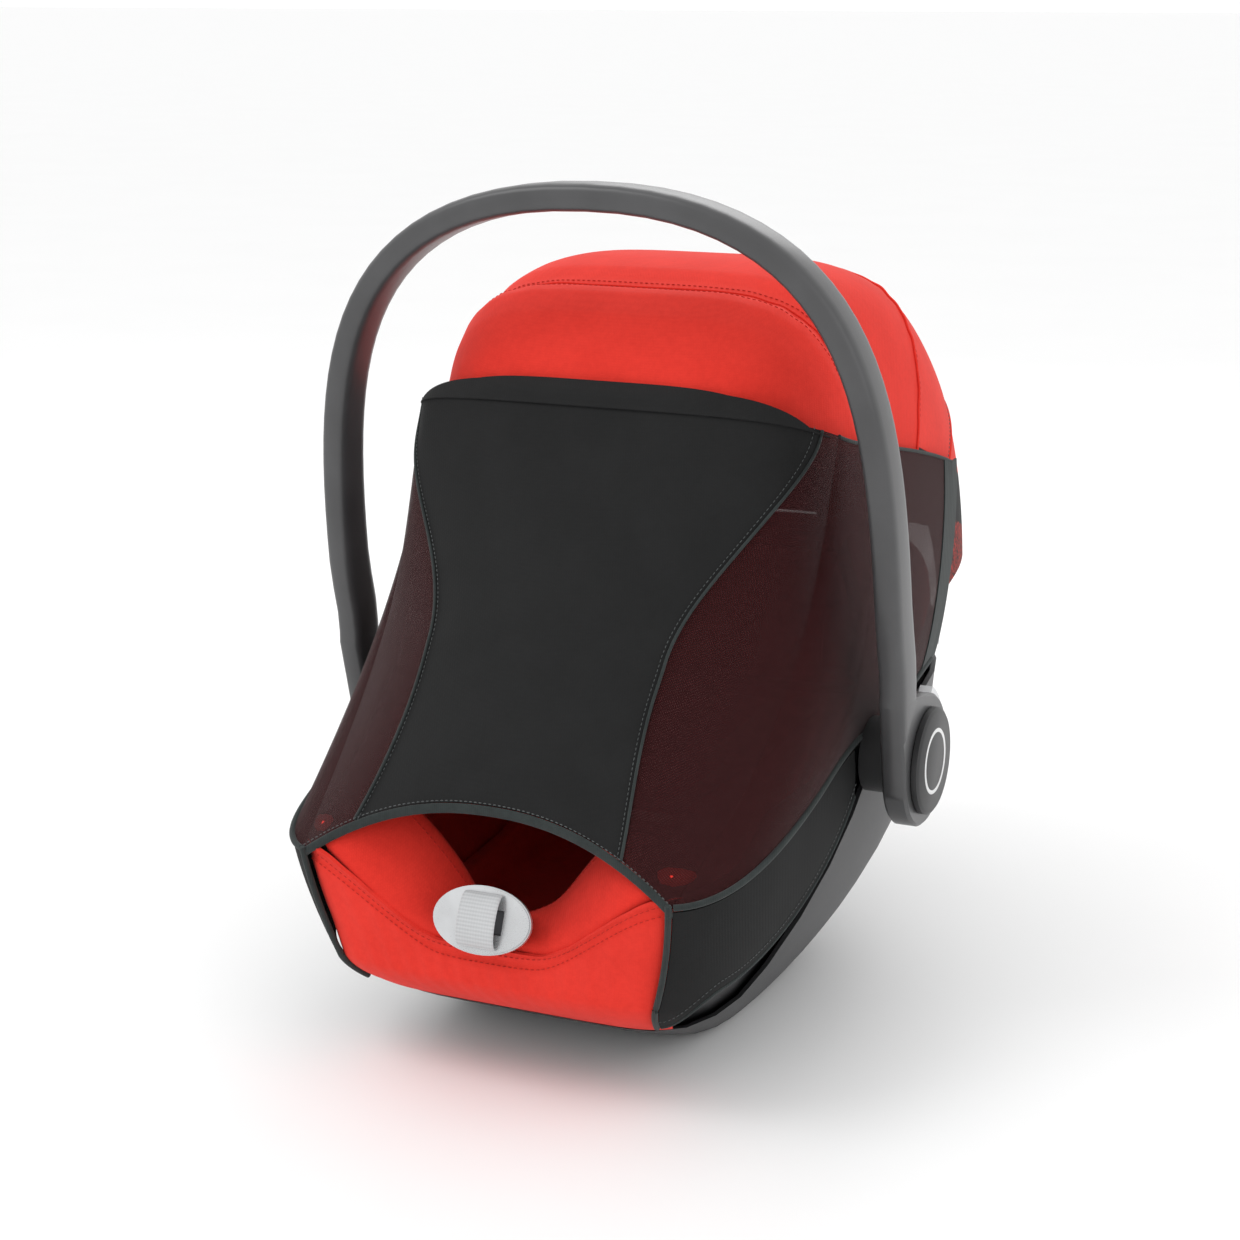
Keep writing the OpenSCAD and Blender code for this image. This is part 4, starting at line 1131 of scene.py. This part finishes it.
@dataclass
class SunNet:
    """The stretch net: dark middle, see-through sides, skirts and bindings."""

    cloth: float = 0.0011
    corner_a: float = -49.6
    end_a: float = 27.0
    skirt_a: float = -8.5
    stretch: dict = field(default_factory=lambda: {
        "front": ((0, 0, 0.215), (0, 0, 0.425)), "side": ((0, 0, 0.3089), (0, -0.0599, 0.4135))})

    def __post_init__(self) -> None:
        """Works out the edge curves, in millimetres."""
        r, f = 244.0, math.radians(129)
        g = math.radians(119)
        self.corner = HULL.pt(self.corner_a, 152.0, -2.0)
        top_mid = [0, 27.5 + r * math.cos(f), 240 + r * math.sin(f)]
        self.top_side = np.array([153.6, 27.5 + 194 * math.cos(g), 240 + 194 * math.sin(g)])
        self.mid = [top_mid, [0, -163.5, 358], [0, -221.5, 276], [0, self.corner[1] + 12, 196]]
        self.edge = [self.top_side, [152, -103.5, 300], [158, -149.5, 226], self.corner]
        self.rear_top = np.array([164.7, 152.5, 356.0])
        self.rear_low = HULL.pt(self.end_a, 212.0, 0.5)

    def front(self, s: Array, t: Array) -> Array:
        """Points of the front, s across and t down, in mm."""
        s, t = np.broadcast_arrays(np.asarray(s, float), np.asarray(t, float))
        m, e = bez(self.mid, t), bez(self.edge, t)
        v = np.abs(s)
        full = 1 - (1 - 0.985 ** 4.5) ** (1 / 4.5)
        top = (1 - (1 - (0.985 * v) ** 4.5) ** (1 / 4.5)) / full
        w = lerp(top, v ** 2.2, ease(1.6 * t))
        return np.stack([s * e[..., 0], lerp(m[..., 1], e[..., 1], w), lerp(m[..., 2], e[..., 2], w)], -1)

    def share(self, t: Array) -> Array:
        """Half width of the dark panel, as a share of the front."""
        return 0.57 + 0.40 * (1 - ease(t / 0.6)) + 0.15 * np.maximum(0, (t - 0.66) / 0.34) ** 2

    def low_edge(self, u: Array) -> Array:
        """The side's lower edge, mm."""
        a = lerp(self.corner_a, self.end_a, u)
        height = lerp(152.0, 202.0, ease(1.7 * u)) + 10 * ease((u - 0.7) / 0.3)
        return HULL.pt(a, height, lerp(-2.0, 0.4, ease((u - 0.3) / 0.5)))

    def side(self, u: Array, t: Array) -> Array:
        """Points of the side between its four edges, mm."""
        u, t = np.broadcast_arrays(np.asarray(u, float), np.asarray(t, float))
        top = bez([self.top_side, [160.7, -47.5, 398], [164.7, 62.5, 384], self.rear_top], u)
        rear = bez([self.rear_top, [166.7, 160.5, 300], [168.7, 122.5, 236], self.rear_low], t)
        front, low = bez(self.edge, t), self.low_edge(u)
        u, t = u[..., None], t[..., None]
        return (top * (1 - t) + low * t + front * (1 - u) + rear * u
                - (self.top_side * (1 - u) + self.rear_top * u) * (1 - t)
                - (self.corner * (1 - u) + self.rear_low * u) * t)

    def piece(self, name: str, g: Array, material: bpy.types.Material, outward: float) -> bpy.types.Object:
        """A sheet over a grid in mm, thickened outwards, whose flat size is logged."""
        g = g / MM
        obj = cloth_sheet(name, g, self.cloth, material, side=outward)
        declare_stretched(obj, g)
        return obj

    def hang(self, obj: bpy.types.Object) -> None:
        """Bakes a piece's transform into its mesh."""
        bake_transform(obj)

    def build(self, looks: Finishes, stitches: Stitcher) -> int:
        """Builds the pieces.

        Args:
            looks: the finishes.
            stitches: lays stitch rows.

        Returns:
            How many pieces were made.
        """
        dark, mesh = looks.by_slot[Slot.NET], looks.by_slot[Slot.MESH]
        flip = np.array([-1.0, 1, 1])
        t = np.linspace(0, 1, 64)
        s = np.linspace(-1, 1, 80)
        middle = self.front(s[:, None] * self.share(t)[None], t[None])
        centre = self.piece("net_centre_cloth", middle, dark, 1.0)
        self.hang(centre)
        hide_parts("net_centre_panel")
        made = 1
        for word, sign in (("left", -1), ("right", 1)):
            f = np.linspace(0, 1, 26)
            front = self.front(lerp(self.share(t)[None], 1.0, f[:, None]), t[None])
            u = np.linspace(0, 1, 90)
            side = self.side(u[:, None], t[None])
            if sign < 0:
                front, side = front * flip, side * flip
            a = self.piece(f"net_front_mesh_{word}", front, mesh, float(sign))
            b = self.piece(f"net_side_mesh_{word}", side, mesh, float(sign))
            self.hang(a)
            self.hang(b)
            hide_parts("net_mesh_" + word)
            lip = np.array([sign * 1.0, 1, 1])
            tt = np.linspace(0, 1, 120)
            line = self.front(self.share(tt), tt) * lip / MM
            seam = tube(f"net_seam_{word}", line + [0, -0.0012, 0.0006], 0.0021, looks.piping, 10)
            self.hang(seam)
            line = self.front(self.share(tt) - 0.02, tt) * lip / MM
            row = stitches.row(f"net_stitches_{word}", line + [0, -0.0012, 0.0005], looks.thread_dark,
                               0.0034, 0.0022, 0.0006)
            self.hang(row)
            line = self.low_edge(np.linspace(0, 1, 140)) * lip / MM
            low = tube(f"net_low_cord_{word}", line + [sign * 0.0008, 0, 0], 0.0042, looks.piping, 12)
            attach(low, "seat", Slot.NET)
            band = self.side(np.linspace(0.93, 1.0, 8)[:, None], np.linspace(0, 1, 80)[None])
            back = band[-1:] + np.linspace(0.1, 1, 9)[:, None, None] * np.array([-1.2, 15.0, 0.0])
            strip = np.concatenate([band, back]) + [0.9, 0, 0]
            hem = cloth_sheet(f"net_rear_hem_{word}", strip * lip / MM, 0.0014, looks.piping,
                              side=float(sign))
            attach(hem, "seat", Slot.NET)
            line = self.side(np.linspace(0, 1, 120), np.array(0.0)) * lip / MM
            top = tube(f"net_top_cord_{word}", line, 0.0026, looks.piping, 10)
            self.hang(top)
            made += 7 + self.skirt(word, sign, looks, stitches)
        bind = np.linspace(-1, 1, 160)
        path = self.front(bind, np.array(1.0)) / MM + [0, -0.0015, -0.0035]
        d = tangents(path)
        out = np.cross(d, [0, 0, 1.0])
        out /= np.linalg.norm(out, axis=1, keepdims=True)
        binding = sweep("net_front_edging", path, np.tile([[0, 0, 1.0]], (len(path), 1)), out,
                        round_section(0.0068, 0.0034, 14, 0.8), looks.piping)
        attach(binding, "seat", Slot.NET, "net_front_binding")
        row = stitches.row("binding_stitches", path + [0, -0.0008, 0.0052], looks.thread_dark, 0.0034,
                           0.0023, 0.0007)
        attach(row, "seat", Slot.NET)
        attach(self.piece("net_collar_cloth", self.collar(), dark, -1.0), "hem", Slot.NET)
        hem = cad_copy("net_top_hem", "net_top_hem_band", dark)
        attach(hem, "hem", Slot.NET, "net_top_hem")
        return made + 4

    def collar(self) -> Array:
        """The strip that joins the front's top edge to the hem bow, mm."""
        low = self.front(np.linspace(-0.985, 0.985, 110), np.array(0.012))
        rel = low[:, 1:] - [27.5, 240.0]
        phi, rho = np.arctan2(rel[:, 1], rel[:, 0]), np.hypot(rel[:, 0], rel[:, 1])
        bow = 246.4 * (1 - np.minimum(np.abs(low[:, 0]) / 156.0, 0.985) ** 4.5) ** (1 / 4.5)
        v = np.linspace(0, 1, 9)[:, None]
        p = lerp(phi[None], np.minimum(phi, math.radians(124.9))[None] - 0.004, v)
        r = lerp(rho[None] + 0.9, np.maximum(bow, rho + 0.9)[None], ease(v * 2.0))
        return np.stack([np.broadcast_to(low[:, 0], p.shape), 27.5 + r * np.cos(p), 240 + r * np.sin(p)], -1)

    def skirt(self, word: str, sign: int, looks: Finishes, stitches: Stitcher) -> int:
        """Builds one side skirt with its hem.

        Args:
            word: left or right.
            sign: -1 or 1.
            looks: the finishes.
            stitches: lays stitch rows.

        Returns:
            How many pieces were made.
        """
        a = np.linspace(self.corner_a, self.skirt_a, 70)
        y = HULL.pt(a, 120)[:, 1] - HULL.datum
        low = 78 + 94 * np.maximum(0, (y + 248) / 216) ** 2.6 - 24 * (1 - ease((a - self.corner_a) / 10))
        u = (a - self.corner_a) / (self.end_a - self.corner_a)
        high = lerp(152.0, 202.0, ease(1.7 * u)) - 3
        v = np.linspace(0, 1, 30)
        z = low[:, None] + (high - low)[:, None] * v[None]
        wave = 0.25 * np.sin(a[:, None] * 0.31 + 2 * v[None]) * np.sin(math.pi * v[None])
        g = HULL.pt(a[:, None], z, -2.0 - wave) * [sign, 1, 1]
        obj = self.piece(f"net_skirt_cloth_{word}", g, looks.by_slot[Slot.NET], float(sign))
        attach(obj, "seat", Slot.NET, "net_skirt_" + word)
        flip = [sign, 1, 1]
        hem = tube(f"net_skirt_hem_{word}", HULL.pt(a, low, -2.8) * flip / MM, 0.0026, looks.piping, 10)
        attach(hem, "seat", Slot.NET)
        drop = np.linspace(154.0, low[0], 40)
        corner = HULL.pt(self.corner_a - 0.7, drop, -3.2) * flip / MM
        edge = tube(f"net_corner_piping_{word}", corner, 0.0042, looks.piping, 12)
        attach(edge, "seat", Slot.NET)
        row = stitches.row(f"skirt_stitches_{word}", HULL.pt(a, low + 8, -3.4) * flip / MM,
                           looks.thread_dark, 0.0034, 0.0023, 0.0006)
        attach(row, "seat", Slot.NET)
        return 4


@dataclass
class Harness:
    """Shoulder straps and pads, the crotch strap and the pull strap."""

    strap_w: float = 0.019
    strap_t: float = 0.0016
    pad_w: float = 0.046
    pad_t: float = 0.008

    def path(self, side: int, t: Array, lift: float) -> tuple[Array, Array, Array]:
        """Points, across directions and up directions of one strap.

        Args:
            side: -1 or 1.
            t: positions along the strap.
            lift: height above the strap's middle, m.

        Returns:
            The three arrays.
        """
        tilt = math.radians(30)
        end = [9.5, -57.5 + 55 * math.sin(tilt) + 9.5, 68 + 55 * math.cos(tilt) - 1.5]
        curve = [[42, 188.5, 149], [42, 140.5, 150], [36, 38.5, 124], end]
        p = bez(curve, t) / MM
        d = tangents(p)
        up = np.cross(d, np.cross([0, 0, 1.0], d))
        up /= np.linalg.norm(up, axis=1, keepdims=True)
        flip = np.array([side, 1, 1])
        return (p + up * lift) * flip, np.cross(up, d) * flip * side, up * flip

    def build(self, looks: Finishes) -> int:
        """Builds the pieces.

        Args:
            looks: the finishes.

        Returns:
            How many pieces were made.
        """
        web = looks.by_slot[Slot.WEBBING]
        for word, side in (("left", -1), ("right", 1)):
            p, across, up = self.path(side, np.linspace(0, 1, 70), 0.0)
            strap = sweep(f"shoulder_webbing_{word}", p, across, up,
                          round_section(self.strap_w, self.strap_t, 12, 0.4), web)
            attach(strap, "seat", Slot.WEBBING, "shoulder_strap_" + word)
            lift = self.pad_t / 2 + self.strap_t / 2 + 0.0006
            p, across, up = self.path(side, np.linspace(5 / 24, 16 / 24, 50), lift)
            pad = sweep(f"shoulder_pad_{word}_padded", p, across, up,
                        round_section(self.pad_w, self.pad_t, 24, 0.6), looks.by_slot[Slot.PAD])
            puff(pad, 0.0035, 0.003)
            attach(pad, "seat", Slot.PAD, "shoulder_pad_" + word)
        lean, count = math.radians(30), 12
        upwards = np.array([[0, math.sin(lean), math.cos(lean)]])
        base = np.array([0, -0.0575, 0.068])
        path = base + np.linspace(-0.0075, -0.0003, count)[:, None] * upwards
        side = np.tile([[1.0, 0, 0]], (count, 1))
        deep = np.tile([[0, math.cos(lean), -math.sin(lean)]], (count, 1))
        crotch = sweep("crotch_webbing", path, side, deep, round_section(0.030, 0.004, 12, 0.4), web)
        attach(crotch, "seat", Slot.WEBBING, "crotch_strap")
        return 5 + self.pull(looks)

    def pull(self, looks: Finishes) -> int:
        """The silver pull strap that arches over the adjuster plate."""
        a = np.radians(np.linspace(8, 172, 60))
        y, z = 0.017 * np.cos(a), 0.0038 + 0.007 * np.sin(a) ** 0.8
        tilt = math.radians(68)
        base = np.array([0, -0.2895, 0.122])
        c, s = math.cos(tilt), math.sin(tilt)
        path = base + np.stack([np.zeros(60), y * c - z * s, y * s + z * c], 1)
        side = np.tile([[1.0, 0, 0]], (60, 1))
        strap = sweep("pull_strap_webbing", path, side, np.cross(tangents(path), side),
                      round_section(0.027, 0.0018, 14, 0.4), looks.by_slot[Slot.PULL])
        attach(strap, "seat", Slot.PULL, "adjuster_strap")
        return 1


def dress_frame(looks: Finishes) -> int:
    """Gives every CAD node its own finish.

    Args:
        looks: the finishes.

    Returns:
        How many nodes were dressed.
    """
    slots = {part["node"]: part["material_slot"] for part in frame["record"]["subparts"]}
    for name, node in frame["nodes"].items():
        node.data.materials.clear()
        node.data.materials.append(looks.by_slot[Slot(slots[name])])
    return len(slots)


@dataclass
class Studio:
    """A pale floor, soft light and the camera."""

    target: tuple[float, float, float] = (0.0, 0.0, 0.27)
    azimuth: float = 24.5
    height: float = 14.3
    lens: float = 72.58

    def build(self) -> None:
        """Builds the floor, the lights and the camera."""
        floor = bpy.data.meshes.new("floor")
        floor.from_pydata([(-60, -60, 0), (60, -60, 0), (60, 60, 0), (-60, 60, 0)], [], [(0, 1, 2, 3)])
        pale = Shader("studio_floor")
        grain = pale.noise(pale.place(), 3.0)
        pale.set(Base_Color=pale.blend(grain, (0.93, 0.93, 0.93), (0.96, 0.96, 0.96)), Roughness=0.6)
        floor.materials.append(pale.material)
        ground = bpy.data.objects.new("floor", floor)
        bpy.context.scene.collection.objects.link(ground)
        world = bpy.data.worlds.new("studio")
        world.use_nodes = True
        back = world.node_tree.nodes["Background"]
        back.inputs["Color"].default_value, back.inputs["Strength"].default_value = (1.0, 1.0, 1.0, 1.0), 1.02
        bpy.context.scene.world = world
        bpy.context.scene.view_settings.view_transform = "Standard"
        self.light("key", (-1.5, -1.3, 2.6), 19.0, 1.5)
        self.light("fill", (1.9, -1.4, 1.2), 5.0, 1.6)
        self.light("rim", (-0.4, 1.9, 1.7), 8.0, 1.2)
        camera = bpy.data.cameras.new("camera")
        camera.lens, camera.sensor_width = self.lens, 36.0
        obj = bpy.data.objects.new("camera", camera)
        a, e = math.radians(self.azimuth), math.radians(self.height)
        away = Vector((math.sin(a) * math.cos(e), -math.cos(a) * math.cos(e), math.sin(e)))
        obj.location = (0.6996, -1.6147, 0.7008)
        obj.rotation_euler = away.to_track_quat("Z", "Y").to_euler()
        bpy.context.scene.collection.objects.link(obj)
        bpy.context.scene.camera = obj

    def light(self, name: str, place: tuple[float, float, float], power: float, size: float) -> None:
        """Adds one soft area light aimed at the seat."""
        lamp = bpy.data.lights.new(name, "AREA")
        lamp.energy, lamp.size = power, size
        obj = bpy.data.objects.new(name, lamp)
        obj.location = place
        obj.rotation_euler = (Vector(place) - Vector(self.target)).to_track_quat("Z", "Y").to_euler()
        bpy.context.scene.collection.objects.link(obj)


def main() -> None:
    """Builds the whole visual model."""
    logging.basicConfig(level=logging.INFO, format="%(name)s %(message)s")
    looks, stitches = Finishes(), Stitcher()
    LOG.info("frame nodes dressed: %d", dress_frame(looks))
    LOG.info("shells: %d pieces", Shells().build(looks))
    LOG.info("lining: %d pieces", Lining().build(looks, stitches))
    LOG.info("canopy: %d pieces", Canopy().build(looks, stitches))
    LOG.info("net: %d pieces", SunNet().build(looks, stitches))
    LOG.info("harness: %d pieces", Harness().build(looks))
    Studio().build()


if __name__ == "__main__":
    main()
